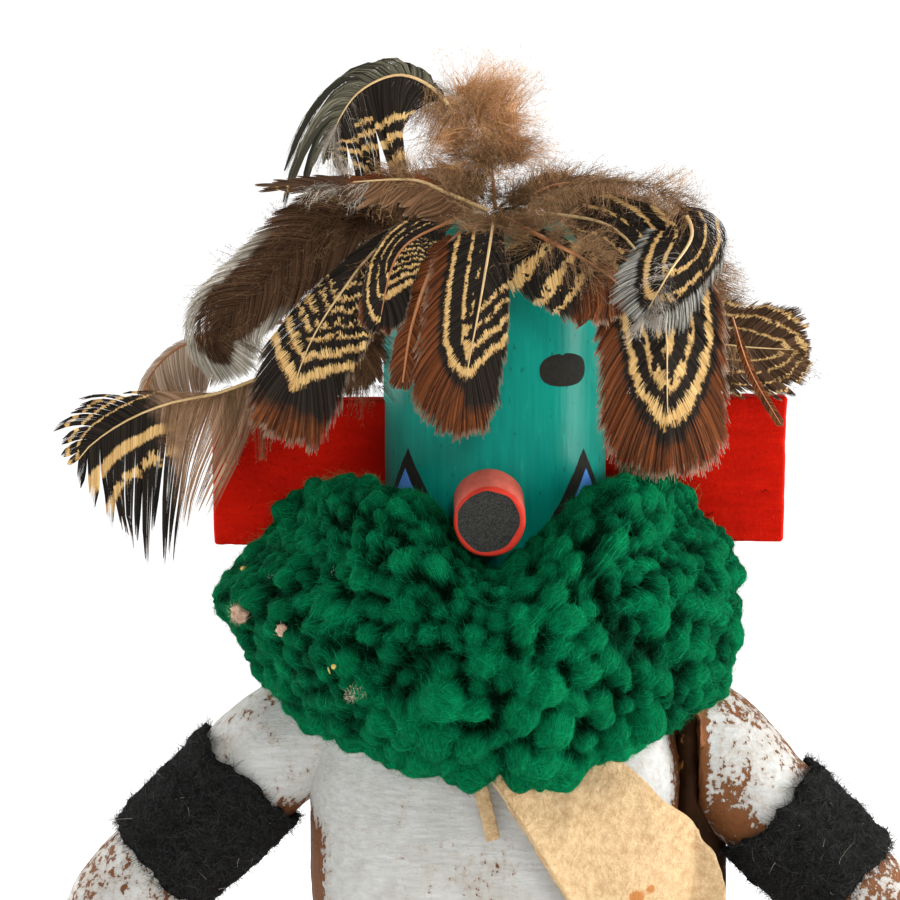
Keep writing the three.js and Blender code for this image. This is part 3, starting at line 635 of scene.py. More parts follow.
# Pale lines on each feather's two sides. U lines are (reach, shoulder, tip, half, gaps) and bars are
# (place, slope, half, gaps), both as mat_vane takes them.
BARS = [(0.80, 0.14, 0.026, 0), (0.715, 0.13, 0.017, 0), (0.65, 0.12, 0.013, 0.3), (0.595, 0.12, 0.011, 0.4),
        (0.54, 0.11, 0.011, 0.5), (0.49, 0.11, 0.010, 0.5), (0.44, 0.10, 0.010, 0.6), (0.39, 0.10, 0.009, 0.6),
        (0.34, 0.10, 0.009, 0.6)]
EYE_LINES = [(0.74, 0.50, 0.83, 0.085, 0), (0.47, 0.46, 0.74, 0.10, 0.3), (0.22, 0.42, 0.64, 0.16, 0.5)]
VANE_PATTERNS = {
    "brow_left": dict(
        minus=[(0.93, 0.02, 0.03, 0.6)], ground="brown", plus_ground="rust", rim="umber",
        rim_from=0.9),
    "brow_centre": dict(
        plus=[(0.6, 0.48, 0.765, 0.075, 0), (0.32, 0.36, 0.68, 0.11, 0.25), (0.13, 0.5, 0.7, 0.3, 0.8)],
        minus=[(0.765, 0.17, 0.024, 0), (0.675, 0.16, 0.017, 0), (0.6, 0.16, 0.013, 0.2),
            (0.53, 0.15, 0.01, 0.4)], rim_from=1.17),
    "ear_right_large": dict(
        plus=[(0.6, 0.5, 0.83, 0.085, 0), (0.38, 0.46, 0.74, 0.1, 0.3), (0.18, 0.42, 0.64, 0.16, 0.5)],
        minus=EYE_LINES, rim_from=1.17, tip_brown=0.8),
    "temple_left_large": dict(
        plus=BARS[:6], minus=BARS, rim_from=1.17),
    "temple_left_small": dict(
        plus=[(0.86, 0.62, 0.93, 0.07, 0), (0.6, 0.5, 0.8, 0.07, 0.5), (0.35, 0.45, 0.68, 0.09, 0.5)],
        minus=BARS, rim_from=1.25),
    "side_right": dict(
        plus=[(0.97, 0.74, 1.02, 0.022, 0.2), (0.78, 0.7, 0.97, 0.025, 0.3), (0.55, 0.66, 0.93, 0.04, 0.2),
            (0.3, 0.6, 0.88, 0.06, 0.2)],
        minus=[(0.92, 0.72, 1.02, 0.04, 0.2), (0.66, 0.68, 0.97, 0.05, 0.2), (0.38, 0.6, 0.9, 0.07, 0.3)],
        ground="umber", rim="black", rim_from=1.03),
    "crest_barred": dict(
        plus=(),
        minus=[(0.36, 0, 0.03, 0.2), (0.5, 0, 0.036, 0.1), (0.65, 0, 0.036, 0.2), (0.8, 0, 0.03, 0.5)],
        by_barb=True, plus_ground="olive", rim="black", rim_from=1.6, tip_brown=0.0),
    "side_left_far": dict(
        plus=[(0.8, 0.9, 1.1, 0.06, 0.2), (0.58, 0.84, 1.0, 0.07, 0), (0.36, 0.84, 0.97, 0.07, 0.3)],
        minus=[(0.46, 0.92, 1.2, 0.1, 0.2), (0.24, 0.9, 1.1, 0.26, 0.0)], rim="black", rim_from=1.3,
        brown_to=0.66, tip_brown=0.25),
    "brow_right": dict(
        plus=[(0.3, 0.02, 0.03, 0.3), (0.44, 0.02, 0.03, 0.2), (0.57, 0.02, 0.03, 0.2),
            (0.68, 0.02, 0.02, 0.3)],
        minus=[(0.3, 0.02, 0.03, 0.3), (0.44, 0.02, 0.03, 0.2), (0.57, 0.02, 0.03, 0.2),
            (0.68, 0.02, 0.02, 0.3)], rim_from=1.0),
    "temple_right_curl": dict(
        plus=[(0.66, 0.72, 0.91, 0.085, 0.15), (0.34, 0.7, 0.83, 0.12, 0.35)],
        minus=[(0.66, 0.72, 0.91, 0.085, 0.3), (0.34, 0.68, 0.82, 0.12, 0.35)], rim="grey", rim_from=1.24,
        tip_brown=0.0),
    "rust": dict(
        ground="rust", rim="rust"),
    "brown": dict(
        ground="brown", rim="brown"),
    "fan": dict(
        ground="cream", rim="tan", rim_from=1.2, tip_brown=0.0),
    "soft": dict(
        ground="umber", rim="umber", grey_edge=True, tip_brown=0.0),
    "back": dict(
        plus=EYE_LINES, minus=EYE_LINES, rim_from=1.17),
}
VANES = {key: mat_vane(f"vane_{key}", **spec) for key, spec in VANE_PATTERNS.items()}

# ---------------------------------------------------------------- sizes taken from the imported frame

def node_box(name):
    low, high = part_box(name)
    return np.array(low) / MM, np.array(high) / MM


CROWN_Z = node_box("carved_body")[1][2]
BASE = node_box("plinth")
SOLE_Z = node_box("carved_body")[0][2]


# ---------------------------------------------------------------- carved and painted wood

def stacked(rows, cols, steps, power):
    """A smooth closed skin over level ovals given as z, half width, half depth, shift."""
    rows = np.array([(*r, 0.0)[:4] for r in rows], float)
    line, _ = spline(np.column_stack([rows[:, 1] * 0, rows[:, 1], rows[:, 0]]), steps)
    z = np.clip(line[:, 2], rows[0, 0], rows[-1, 0])
    w, d, y = (np.interp(z, rows[:, 0], rows[:, k]) for k in (1, 2, 3))
    k = np.exp(-np.linspace(-2, 2, 7) ** 2)
    w, d = (np.convolve(np.pad(v, 3, mode="edge"), k / k.sum(), "valid")[:, None] for v in (w, d))
    a = around(cols)[None, :]
    rings = w * oval(np.cos(a), power), d * oval(np.sin(a), power) + y[:, None], z[:, None]
    return np.stack(np.broadcast_arrays(*rings), -1)


def swollen(points, *noise):
    """A lattice of rings pushed in and out by noise layers, each (scale, seed, mm)."""
    push = sum(lumps(points, scale, seed) * mm for scale, seed, mm in noise)
    return points + unit(points - points.mean(1, keepdims=True)) * push[..., None]


def capped(points):
    """A lattice of rings closed with a middle point at each end."""
    rows, cols = points.shape[:2]
    verts = np.vstack([points.reshape(-1, 3), points[0].mean(0)[None], points[-1].mean(0)[None]])
    a = np.arange(cols)
    b = (a + 1) % cols
    n = rows * cols
    ends = np.vstack([np.stack([np.full(cols, n), b, a], -1),
                      np.stack([np.full(cols, n + 1), a + (rows - 1) * cols, b + (rows - 1) * cols], -1)])
    return verts, grid(rows, cols, loop_cols=True), ends


def add_capped(parts, points, mat=0, **attrs):
    """Adds a capped lattice; the two middle points have 0 in any attribute given point by point."""
    verts, quads, ends = capped(points)
    attrs = {k: np.append(v, [0.0, 0.0]) if np.size(v) > 1 else v for k, v in attrs.items()}
    parts.add(verts, [quads, ends], mat, **attrs)


# Level ovals of the torso: z, half width, half depth, shift back. Its sections are ovals of TORSO_POWER.
TORSO_POWER = 2.7
TORSO = [(96, 33, 21), (112, 37, 24), (126, 36.5, 23.5), (148, 41, 25.5, -0.5), (172, 43.6, 26.8, -1),
         (196, 44, 26.8, -1), (210, 41.5, 24.5, -0.5), (224, 31, 20.5), (233, 19, 17), (247, 16, 16)]


def add_leg(parts, side):
    """A leg, its moccasin and the moccasin's cuff."""
    apart, rows, cols = 18.0, 44, 40
    z = np.array([108, 88, 66, 56, 42, 30, 20, SOLE_Z])
    radii = np.array([15.5, 15.5, 13.4, 12.4, 13.2, 10.8, 9.0, 8.4])
    path = Path(np.column_stack([np.full(8, side * apart), np.zeros(8), z]), n=rows)
    leg = tube(path, np.interp(np.linspace(0, 1, rows), (108 - z) / (108 - SOLE_Z), radii), cols)
    leg = swollen(leg, (9, 4 + side, 0.25))
    add_capped(parts, leg, 0, wear=0.25 + 0.2 * lumps(leg, 14, 6))
    t = np.linspace(0, 1, 36)[:, None]
    swell = np.sin(np.pi * (0.2 + 0.7 * t)) ** 0.5
    swell = swell * np.clip(np.sin(np.pi * np.clip(t * 1.02 - 0.01, 0, 1)), 0, 1) ** 0.28
    a = around(cols)[None, :]
    x = side * apart + 12 * swell * oval(np.cos(a), 2.3)
    lift = 18 * (1 - 0.45 * smooth01(t)) * swell * np.maximum(oval(np.sin(a), 2.3), 0)
    add_capped(parts, np.stack(np.broadcast_arrays(x, 14 - 44 * t, SOLE_Z + lift), -1), 1, wear=0.0)
    thick = 11.6 + 0.5 * np.sin(np.linspace(0, np.pi, 10))
    add_capped(parts, tube(path, thick, cols, s=np.linspace(0.80, 0.93, 10)), 1, wear=0.0)


def add_mask(parts):
    """The case mask: a drum with a rounded foot and a rounded crown."""
    foot_z, foot_round, crown_round = 243, 5, 9
    outline = [(0.0, foot_z)]
    outline += [(MASK_R - foot_round * (1 - math.cos(a)), foot_z + foot_round * (1 - math.sin(a)))
                for a in np.linspace(math.pi / 2, 0, 7)]
    outline += [(MASK_R, z) for z in np.linspace(248.5, CROWN_Z - 9.3, 40)]
    outline += [(MASK_R - crown_round * (1 - math.cos(a)), CROWN_Z - crown_round * (1 - math.sin(a)))
                for a in np.linspace(0, math.pi / 2, 12)]
    outline += [(12.0, CROWN_Z), (6.0, CROWN_Z), (0.5, CROWN_Z)]
    mask = np.array([[(r * math.cos(t), r * math.sin(t), z) for t in around(96)] for r, z in outline])
    push = lumps(mask * [1, 1, 0.4], 14, 9) * 0.14 - 0.06
    add_capped(parts, mask + unit(mask * [1, 1, 0]) * push[..., None], 2, wear=0.0)


def make_body():
    parts = Parts("wear")
    torso = swollen(stacked(TORSO, 84, 88, TORSO_POWER), (22, 1, 0.5), (6, 2, 0.18))
    side = np.abs(torso[..., 0]) / np.abs(torso[..., 0]).max(1, keepdims=True)
    front = torso[..., 1] < 0
    # Paint is rubbed off the sides, but not where the viewer's left shoulder runs into the chest.
    below = np.where(torso[..., 0] < 0, smooth01((191 - torso[..., 2]) / 12), 1.0)
    wear = smooth01((side - 0.90) / 0.09) * 0.58 * below + 0.16 * lumps(torso, 30, 3) + 0.14
    # The bare stripe down the left edge of the chest, and rubbed paint by the leather.
    wear += 0.35 * smooth01((-torso[..., 0] - 37.5) / 3) * front * below
    wear += 0.30 * np.exp(-(((torso[..., 0] + 2) / 5) ** 2 + ((torso[..., 2] - 172) / 9) ** 2)) * front
    add_capped(parts, torso, 0, wear=wear)
    for side in (-1, 1):
        add_leg(parts, side)
    add_mask(parts)
    # The peg and glue seen in the crack by the right arm. Below the crack it widens into a dark lump, painted
    # shade filling the gap between the arm, the torso and the leather.
    z = np.linspace(160, 211, 26)[:, None]
    t = around(24)[None, :]
    wide = 4.2 + 5.4 * smooth01((190 - z) / 8)
    deep = 7.0 + 6.0 * smooth01((z - 176) / 12)
    peg = np.stack(np.broadcast_arrays(45.6 + wide * np.cos(t), 2.0 + deep * np.sin(t), z + 0 * t), -1)
    peg[..., 1] += 1.4 * lumps(peg, 5, 81) + 0.6 * lumps(peg, 1.8, 82)
    add_capped(parts, peg, 3, wear=1.0)
    return parts.build("carved_body_surface", [WHITE, MOCCASIN, TURQ, GLUE_AND_SHADE], "painted_wood",
                       replaces=("carved_body",))


# The viewer's right arm from the shoulder to the hand: x, y, z, radius. The left arm mirrors it.
ARM_LINE = np.array([(38, 0, 207, 15), (52, -1, 199, 14.4), (64, -1.5, 187, 13.4), (77, -2, 174.5, 12.7),
                     (89, -4, 161, 12.6), (91.5, -14, 147, 11.2), (86.5, -26, 135, 9.4), (82, -34, 127.5, 10.6),
                     (79.5, -39, 122.5, 9.6)], float)
# How each arm is moved in x and z, and where its felt band starts and ends as shares of ARM_LINE.
ARM_SHIFT = {-1: (0, 0), 1: (-0.8, 0.1)}
BANDS = {-1: (0.185, 0.40), 1: (0.267, 0.445)}
# Bare patches on the front of each arm: amount, x, z, size.
BARE_SPOTS = {-1: [(0.7, -49, 184, 5.0), (0.5, -54, 181.5, 5.0), (0.08, -60, 205, 7)],
              1: [(0.34, 54, 187, 5.0), (0.40, 60, 180, 6.0), (0.22, 57, 195, 5.0), (0.15, 76, 199, 7)]}
SIDES = {-1: "left", 1: "right"}


def arm_path(side):
    """The arm's centre line, its radius along it, and the place along it for a share of ARM_LINE."""
    dx, dz = ARM_SHIFT[side]
    pts = ARM_LINE[:, :3] * [side, 1, 1] + [side * dx, 0, dz]
    path = Path(pts, facing=(0, -1, 0), n=200)
    d = np.linalg.norm(path.p[None] - pts[:, None], axis=-1)
    knots = d.argmin(1) / (path.n - 1)
    radius = lambda s: np.interp(s, knots, ARM_LINE[:, 3])
    share = lambda f: np.interp(f * (len(pts) - 1), np.arange(len(pts)), knots)
    return path, radius, share


def make_arm(side):
    path, radius, _ = arm_path(side)
    s = np.linspace(0, 1, 96)
    arm = tube(path, radius(s), 72, s=s)
    last = arm[-1]
    hub, along = last.mean(0), path.t[-1]
    turns = np.linspace(0.2, 1.45, 7)
    knuckles = [hub + (last - hub) * math.cos(a) + along * 3.5 * math.sin(a) for a in turns]
    arm = np.concatenate([arm, np.array(knuckles)])
    centre = arm.mean(1, keepdims=True)
    arm += unit(arm - centre) * (lumps(arm, 13, 11 + side) * 0.5 + lumps(arm, 4, 13) * 0.16)[..., None]
    rows = np.concatenate([s, np.linspace(1.0, 1.03, 7)])[:, None] + np.zeros(72)
    inner = np.clip(-(arm[..., 0] * side - centre[..., 0] * side) / 12, 0, 1)
    out = unit(arm - centre)
    top = smooth01((out[..., 2] - 0.45) / 0.40) * (out[..., 1] < 0.35)
    front = arm[..., 1] < 0
    wear = 0.24 + 0.14 * inner * (rows < 0.45) + 0.10 * lumps(arm, 16, 15) + 0.10 * top + 0.04 * side
    wear += 0.19 * smooth01((rows - 0.38) / 0.1)
    for amount, x, z, size in BARE_SPOTS[side]:
        wear += amount * np.exp(-(((arm[..., 0] - x) ** 2 + (arm[..., 2] - z) ** 2) / size**2)) * front
    if side > 0:
        wear += 0.10 * top
        # The side facing the crack is cut flat and bare.
        low = 47.8 + 0.5 * lumps(arm, 5, 17)
        deep = arm[..., 0] - low
        cut = low + 0.5 * (deep + np.sqrt(deep**2 + 0.8))
        share = 1 - smooth01((arm[..., 2] - 209) / 5)
        wear = np.maximum(wear, smooth01(1.6 - deep) * share)
        arm[..., 0] += (cut - arm[..., 0]) * share
    else:
        wear -= 0.05 * (rows < 0.3)
    parts = Parts("wear")
    add_capped(parts, arm, 0, wear=wear)
    name = SIDES[side]
    return parts.build(f"arm_{name}_surface", WHITE, "painted_wood", replaces=(f"arm_{name}",))


def weld(verts, faces):
    """Joins points that lie in the same place."""
    key = np.round(verts * 2000).astype(np.int64)
    _, first, inverse = np.unique(key, axis=0, return_index=True, return_inverse=True)
    return verts[first], inverse.ravel()[faces]


def rounded_block(half, radius, steps):
    """A box round the origin with rounded edges, and how close each point is to an edge."""
    half = np.asarray(half, float)
    axes = []
    for h, n in zip(half, steps):
        inner = np.linspace(-(h - radius), h - radius, n)
        near_end = np.array([-h, -h + radius * 0.35, -h + radius * 0.7])
        axes.append(np.concatenate([near_end, inner, -near_end[::-1]]))
    verts, faces, base = [], [], 0
    for k in range(3):
        i, j = (k + 1) % 3, (k + 2) % 3
        for sign in (-1, 1):
            g = np.stack(np.meshgrid(axes[i], axes[j], indexing="ij"), -1).reshape(-1, 2)
            q = np.zeros((len(g), 3))
            q[:, i], q[:, j], q[:, k] = g[:, 0], g[:, 1], sign * half[k]
            f = grid(len(axes[i]), len(axes[j]), offset=base)
            faces.append(f if sign < 0 else f[:, ::-1])
            verts.append(q)
            base += len(q)
    q = np.vstack(verts)
    inner = np.clip(q, -(half - radius), half - radius)
    pos = inner + radius * unit(q - inner)
    pos, faces = weld(pos, np.vstack(faces))
    gap = np.sort(half - np.abs(pos), axis=1)
    return pos, faces, np.exp(-np.maximum(gap[:, 1], 0) / 0.7)


def make_ear(side):
    name = SIDES[side]
    low, high = node_box(f"ear_{name}")
    # The board's inner end reaches into the mask.
    (high if side < 0 else low)[0] -= side * 2.2
    mid, half = (low + high) / 2, (high - low) / 2
    pos, faces, edge = rounded_block(half, 0.8, (40, 9, 34))
    outer = pos[:, 0] * side / half[0]
    pos[:, 0] -= side * 0.6 * (0.5 - pos[:, 2] / (2 * half[2])) * (outer > 0)
    rough = lumps(pos, 9, 21 + side) * 0.18 + lumps(pos, 2.2, 23) * 0.07
    chip = np.maximum(lumps(pos, 3.2, 25) - 0.25, 0) * edge * 1.1
    inner = np.clip(pos, -(half - 1.5), half - 1.5)
    pos += unit(pos - inner + 1e-6) * (rough - chip)[:, None]
    top = smooth01((pos[:, 2] / half[2] - 0.9) / 0.1)
    wear = edge * (0.45 + 0.4 * top) + chip * 0.8
    return build(f"ear_{name}_surface", pos + mid, faces, RED, "red_wood", replaces=(f"ear_{name}",),
                 attrs={"wear": wear})


def make_snout():
    cols = 80
    a = around(cols)
    r = 7.95 + 0.10 * np.sin(2 * a + 1.0) + 0.06 * np.sin(5 * a)
    disc = 7.0 + 0.14 * np.sin(3 * a + 0.4) + 0.10 * np.sin(7 * a + 2)
    rows = [(r, h) for h in np.linspace(-4, 20.2, 26)]
    rows += [(r - 0.12, 20.6), (r - 0.4, 20.9), (r - 0.55, 21.0)]
    side_rows = len(rows)
    rows += [(disc, 20.97), (disc * 0.97, 20.85)]
    rows += [(disc * f, 20.85) for f in (0.85, 0.7, 0.55, 0.4, 0.25, 0.1)]
    pts = np.stack([np.stack([out * np.cos(a), out * np.sin(a), np.full(cols, h)], -1) for out, h in rows])
    pts += (lumps(pts, 5, 31) * 0.10)[..., None] * unit(pts * [1, 1, 0] + 1e-6)
    pts[side_rows:, :, 2] += lumps(pts[side_rows:], 1.6, 33) * 0.06
    pts[side_rows:, :, :2] += [-0.38, 0.40]
    turn = Matrix.Rotation(math.radians(95), 3, "X")
    pts = pts @ np.array(turn).T + [-1.7, -MASK_R, 260.7]
    verts, quads, ends = capped(pts)
    black = np.concatenate([np.arange(len(ends)) >= cols, np.arange(len(quads)) >= side_rows * cols])
    return build("snout_surface", verts, [ends, quads], [SNOUT, DISC], "red_wood", replaces=("snout",),
                 face_mats=black.astype(int))


def make_plinth():
    low, high = BASE
    mid, half = (low + high) / 2, (high - low) / 2
    a = around(200)
    # Each ring of the block: how far it is set in from the outline, and its height.
    rows = [(6.0, 0.0), (1.0, 0.0), (0.35, 0.15), (0.0, 0.7), (0, 2.5), (0, 5), (0, 7.5), (0, 10), (0.2, 11.0),
            (0.7, 11.6), (1.5, 11.93), (3, 12.0), (8, 12.0), (16, 12.0), (26, 12.0), (38, 12.0)]
    pts = np.array([np.column_stack([(half[0] - inset) * oval(np.cos(a), 4.6) + mid[0],
                                     (half[1] - inset) * oval(np.sin(a), 4.6) + mid[1], np.full(200, z)])
                    for inset, z in rows])
    shake = lumps(pts, 10, 41) * 0.25
    shake[:2] = 0
    pts[..., :2] += unit(pts[..., :2]) * (shake - 0.25)[..., None] * (pts[..., 2:] > 0.5)
    top_rows = slice(12, None)
    pts[top_rows, :, 2] -= 0.12 + 0.1 * lumps(pts[top_rows], 12, 43)
    verts, quads, ends = capped(pts)
    return build("plinth_surface", verts, [ends, quads], WOOD, "bare_wood", replaces=("plinth",))


# ---------------------------------------------------------------- felt, leather

def fibres(rng, roots, normals, length, width, spread=0.9, bend=0.5, steps=3):
    """Short loose hairs standing on a surface, as ribbons. Returns points, faces and each point's tone."""
    n = len(roots)
    d = unit(normals + spread * rng.normal(size=(n, 3)))
    turn = unit(np.cross(d, rng.normal(size=(n, 3))))
    v = np.linspace(0, 1, steps)[None, :, None]
    size = (length * rng.uniform(0.4, 1.2, n))[:, None, None]
    line = roots[:, None] + size * (d[:, None] * v + bend * turn[:, None] * v**2)
    side = unit(np.cross(d, turn))[:, None] + np.zeros((1, steps, 1))
    w = width * (1 - 0.8 * v[..., 0]) * np.ones((n, 1))
    verts, faces = ribbons(line, side, w)
    return verts, faces, np.repeat(rng.uniform(0, 1, n), steps * 2)


def make_band(side):
    path, radius, share = arm_path(side)
    name = SIDES[side]
    rng = np.random.default_rng(50 + side)
    s0, s1 = (share(f) for f in BANDS[side])
    n, m = 34, 92
    s = np.linspace(s0, s1, n)
    over = np.full(n, 2.6) - 0.9 * np.abs(np.linspace(-1, 1, n)) ** 6
    outer = tube(path, radius(s) + over, m, s=s)
    inner = tube(path, radius(s) + 0.45, m, s=s)[::-1]
    ring = np.concatenate([outer, inner])
    out = unit(ring - ring.mean(1, keepdims=True))
    rag = lumps(ring, 6.0, 51 + side) * 1.4 + lumps(ring, 2.0, 55 + side) * 0.9
    bumps = lumps(outer, 6, 53) * 0.7 + lumps(outer, 2.4, 56) * 0.55 + lumps(outer, 1.1, 54) * 0.3
    ring[:n] += out[:n] * bumps[..., None]
    across = np.linspace(-1, 1, n)
    edge = np.sign(across) * np.abs(across) ** 5
    edges = np.concatenate([edge, edge[::-1]])
    ring += path.at((s0 + s1) / 2)[1] * (rag * edges[:, None])[..., None]
    obj = build(f"armband_{name}_felt", ring.reshape(-1, 3), grid(2 * n, m, loop_cols=True, loop_rows=True),
                FELT, "black_felt", replaces=(f"armband_{name}",))
    arc = 2 * math.pi * (float(radius((s0 + s1) / 2)) + 1.7) * MM
    parts = Parts("tone")
    front = np.argwhere(out[:n, :, 1] < 0.45)
    for pool, count in ((front, 2500), (np.argwhere(out[:n, :, 1] >= 0.45), 400)):
        pick = tuple(pool[rng.integers(0, len(pool), count)].T)
        v, f, tone = fibres(rng, ring[:n][pick], out[:n][pick] * 0.55, 2.4, 0.13, spread=1.0, bend=1.1,
                            steps=4)
        parts.add(v, f, 0, tone=tone)
    rim = (np.where(rng.uniform(size=1300) < 0.5, 0, n - 1), rng.integers(0, m, 1300))
    along = path.at((s0 + s1) / 2)[1] * np.where(rim[0] > 0, 1, -1)[:, None]
    outward = unit(along + 0.6 * out[:n][rim])
    v, f, tone = fibres(rng, ring[:n][rim], outward, 2.7, 0.12, spread=1.1, bend=1.1, steps=4)
    parts.add(v, f, 0, tone=tone)
    pool = front[(front[:, 0] > 3) & (front[:, 0] < n - 4)]
    pick = tuple(pool[rng.integers(0, len(pool), 26)].T)
    roots, outward = ring[:n][pick] + out[:n][pick] * 0.2, out[:n][pick] * 0.15
    v, f, tone = fibres(rng, roots, outward, 3.4, 0.07, spread=1.2, bend=1.2, steps=7)
    parts.add(v, f, 1, tone=tone)
    parts.build(f"armband_{name}_hairs", [FELT_FUZZ, LINT], "black_felt")


def torso_front(x, z):
    """How far forward the torso's front is at x and z."""
    rows = np.array([(*r, 0.0)[:4] for r in TORSO])
    w, d, y = (np.interp(z, rows[:, 0], rows[:, k]) for k in (1, 2, 3))
    share = np.minimum(0.93, np.abs(x) / w)
    return -(d * (1 - share**TORSO_POWER) ** (1 / TORSO_POWER)) + y


def slab(front, normal, thick):
    """A closed sheet: its front lattice, pushed back along normals by its thickness."""
    rows, cols = front.shape[:2]
    verts = np.vstack([front.reshape(-1, 3), (front - normal * thick).reshape(-1, 3)])
    f = grid(rows, cols)
    n = rows * cols
    border = np.concatenate([np.arange(cols - 1), np.arange(rows - 1) * cols + cols - 1,
                             n - 1 - np.arange(cols - 1), (rows - 1 - np.arange(rows - 1)) * cols])
    nxt = np.roll(border, -1)
    rim = np.stack([border, border + n, nxt + n, nxt], -1)
    return verts, np.vstack([f, f[:, ::-1] + n, rim])


def lattice_normals(p):
    """Directions out of a lattice, turned towards the front."""
    n = unit(np.cross(np.gradient(p, axis=1), np.gradient(p, axis=0)))
    return -n if n[..., 1].mean() > 0 else n


# Brown stains on the hide: amount, x, z, size.
STAINS = [(1.2, 32.5, 169.2, 2.4), (0.9, 36.0, 171.2, 1.7), (0.55, 11.5, 193, 3.2), (0.5, 28, 194, 2.0),
          (0.45, 22, 185, 2.2), (0.4, 45, 178, 2.0)]


def make_panel():
    """The hide over the shoulder, between a left and a right edge seen from the front as x and z."""
    left = np.array([(-6, 206), (8, 184.5), (20, 164), (30, 143)], float)
    right = np.array([(24, 206), (41, 190), (52.5, 177), (54, 146)], float)
    rows, cols = 70, 46
    v = np.linspace(0, 1, rows)
    bell = np.hanning(11) / np.hanning(11).sum()

    def rounded(corners):
        even = [np.interp(v * 3, range(4), corners[:, k]) for k in (0, 1)]
        wide = [np.pad(e, 5, mode="reflect", reflect_type="odd") for e in even]
        return np.column_stack([np.convolve(e, bell, "valid") for e in wide])

    a, b = rounded(left), rounded(right)
    b[:, 0] += 0.9 * np.sin(v * 17 + 0.5) * smooth01((v - 0.15) / 0.2) * (1 - smooth01((v - 0.75) / 0.15))
    u = np.linspace(0, 1, cols)[None, :, None]
    xz = a[:, None] * (1 - u) + b[:, None] * u
    x, z = xz[..., 0], xz[..., 1]
    z = z + 0.5 * lumps(np.stack([x, z * 0, z], -1), 9, 61) * (v[:, None] > 0.9)
    x = x + 0.4 * lumps(np.stack([x * 0, z, z], -1), 5, 62) * (np.abs(u[..., 0] - 0.5) > 0.46)
    uu = np.broadcast_to(u[..., 0], x.shape)
    y = torso_front(x * 0.88, z) - 2.9 - 2.2 * (1 - uu) ** 3 - 1.3 * (1 - uu) ** 10
    level = np.stack([x, z, z * 0], -1)
    curled = smooth01((v[:, None] - 0.8) / 0.2)
    y = y - 0.9 * lumps(level, 15, 63) - 0.22 * lumps(level, 3.2, 64) - 0.7 * curled
    front = np.stack([x, y, z], -1)
    verts, faces = slab(front, lattice_normals(front), 1.25)
    stain = np.exp(-(1 - uu) / 0.02) * 0.25
    for amount, px, pz, size in STAINS:
        stain = stain + amount * np.exp(-((x - px) ** 2 + (z - pz) ** 2) / size**2)
    stain = np.concatenate([stain.ravel(), stain.ravel() * 0])
    obj = build("shoulder_leather_hide", verts, faces, LEATHER, "pale_leather", replaces=("shoulder_leather",),
                attrs={"stain": stain})


def make_lace():
    v = np.linspace(0, 1, 40)[:, None]
    u = np.linspace(-1, 1, 9)[None, :]
    x = -5.2 + 4.6 * v + 1.75 * u * (1 - 0.12 * v) + 0 * v
    z = 203 - 19.5 * v + 0.5 * u
    y = torso_front(x, z) - 2.3 - 0.35 * np.cos(u * 1.3) - 0.6 * v**2
    front = np.stack(np.broadcast_arrays(x, y, z), -1)
    verts, faces = slab(front, lattice_normals(front), 1.2)
    return build("lace_end_hide", verts, faces, LEATHER, "pale_leather", replaces=("lace_end",),
                 attrs={"stain": np.zeros(len(verts))})


def make_kilt():
    low, high = node_box("kilt")
    rows, cols = 28, 140
    t = np.linspace(0, 1, rows)[:, None]
    a = around(cols)[None, :]
    folds = np.sin(7 * a + 0.6) + 0.6 * np.sin(12 * a + 2.1) + 0.4 * np.sin(19 * a)
    folds = folds * smooth01(t * 1.1) * 0.9
    w = 40.0 + 7.6 * t**0.8 + folds
    d = 27.2 + 6.6 * t**0.8 + folds
    x, y = w * oval(np.cos(a), 2.6), d * oval(np.sin(a), 2.6)
    z = (129 - 63 * t) + 0.7 * np.sin(3 * a + 1) * t + 0 * a
    ring = np.stack(np.broadcast_arrays(x, y, z), -1)
    ring[..., 2] = np.clip(ring[..., 2], low[2], high[2])
    out = unit(ring * [1, 1, 0])
    ring += out * (lumps(ring, 12, 71) * 0.3)[..., None]
    both = np.concatenate([ring, (ring - out * 1.2)[::-1]])
    stain = 0.25 * (np.concatenate([t, t[::-1]]) > 0.97) + 0 * a
    faces = grid(2 * rows, cols, loop_cols=True, loop_rows=True)
    obj = build("kilt_hide", both.reshape(-1, 3), faces, LEATHER, "pale_leather", replaces=("kilt",),
                attrs={"stain": np.broadcast_to(stain, (2 * rows, cols)).ravel()})


# ---------------------------------------------------------------- yarn ruff

# The bunch is a round cushion with a few bulges and dents, seen from the front:
# (turn in degrees from the viewer's right, half width in degrees, how much further it reaches).
RUFF_REACH = 0.965
BULGES = [(30, 9, -0.07), (47, 8, 0.09), (90, 14, 0.035), (109, 8, -0.06), (124, 8, 0.04),
          (147, 9, -0.07), (174, 9, 0.12), (264, 12, -0.025), (297, 16, 0.055)]


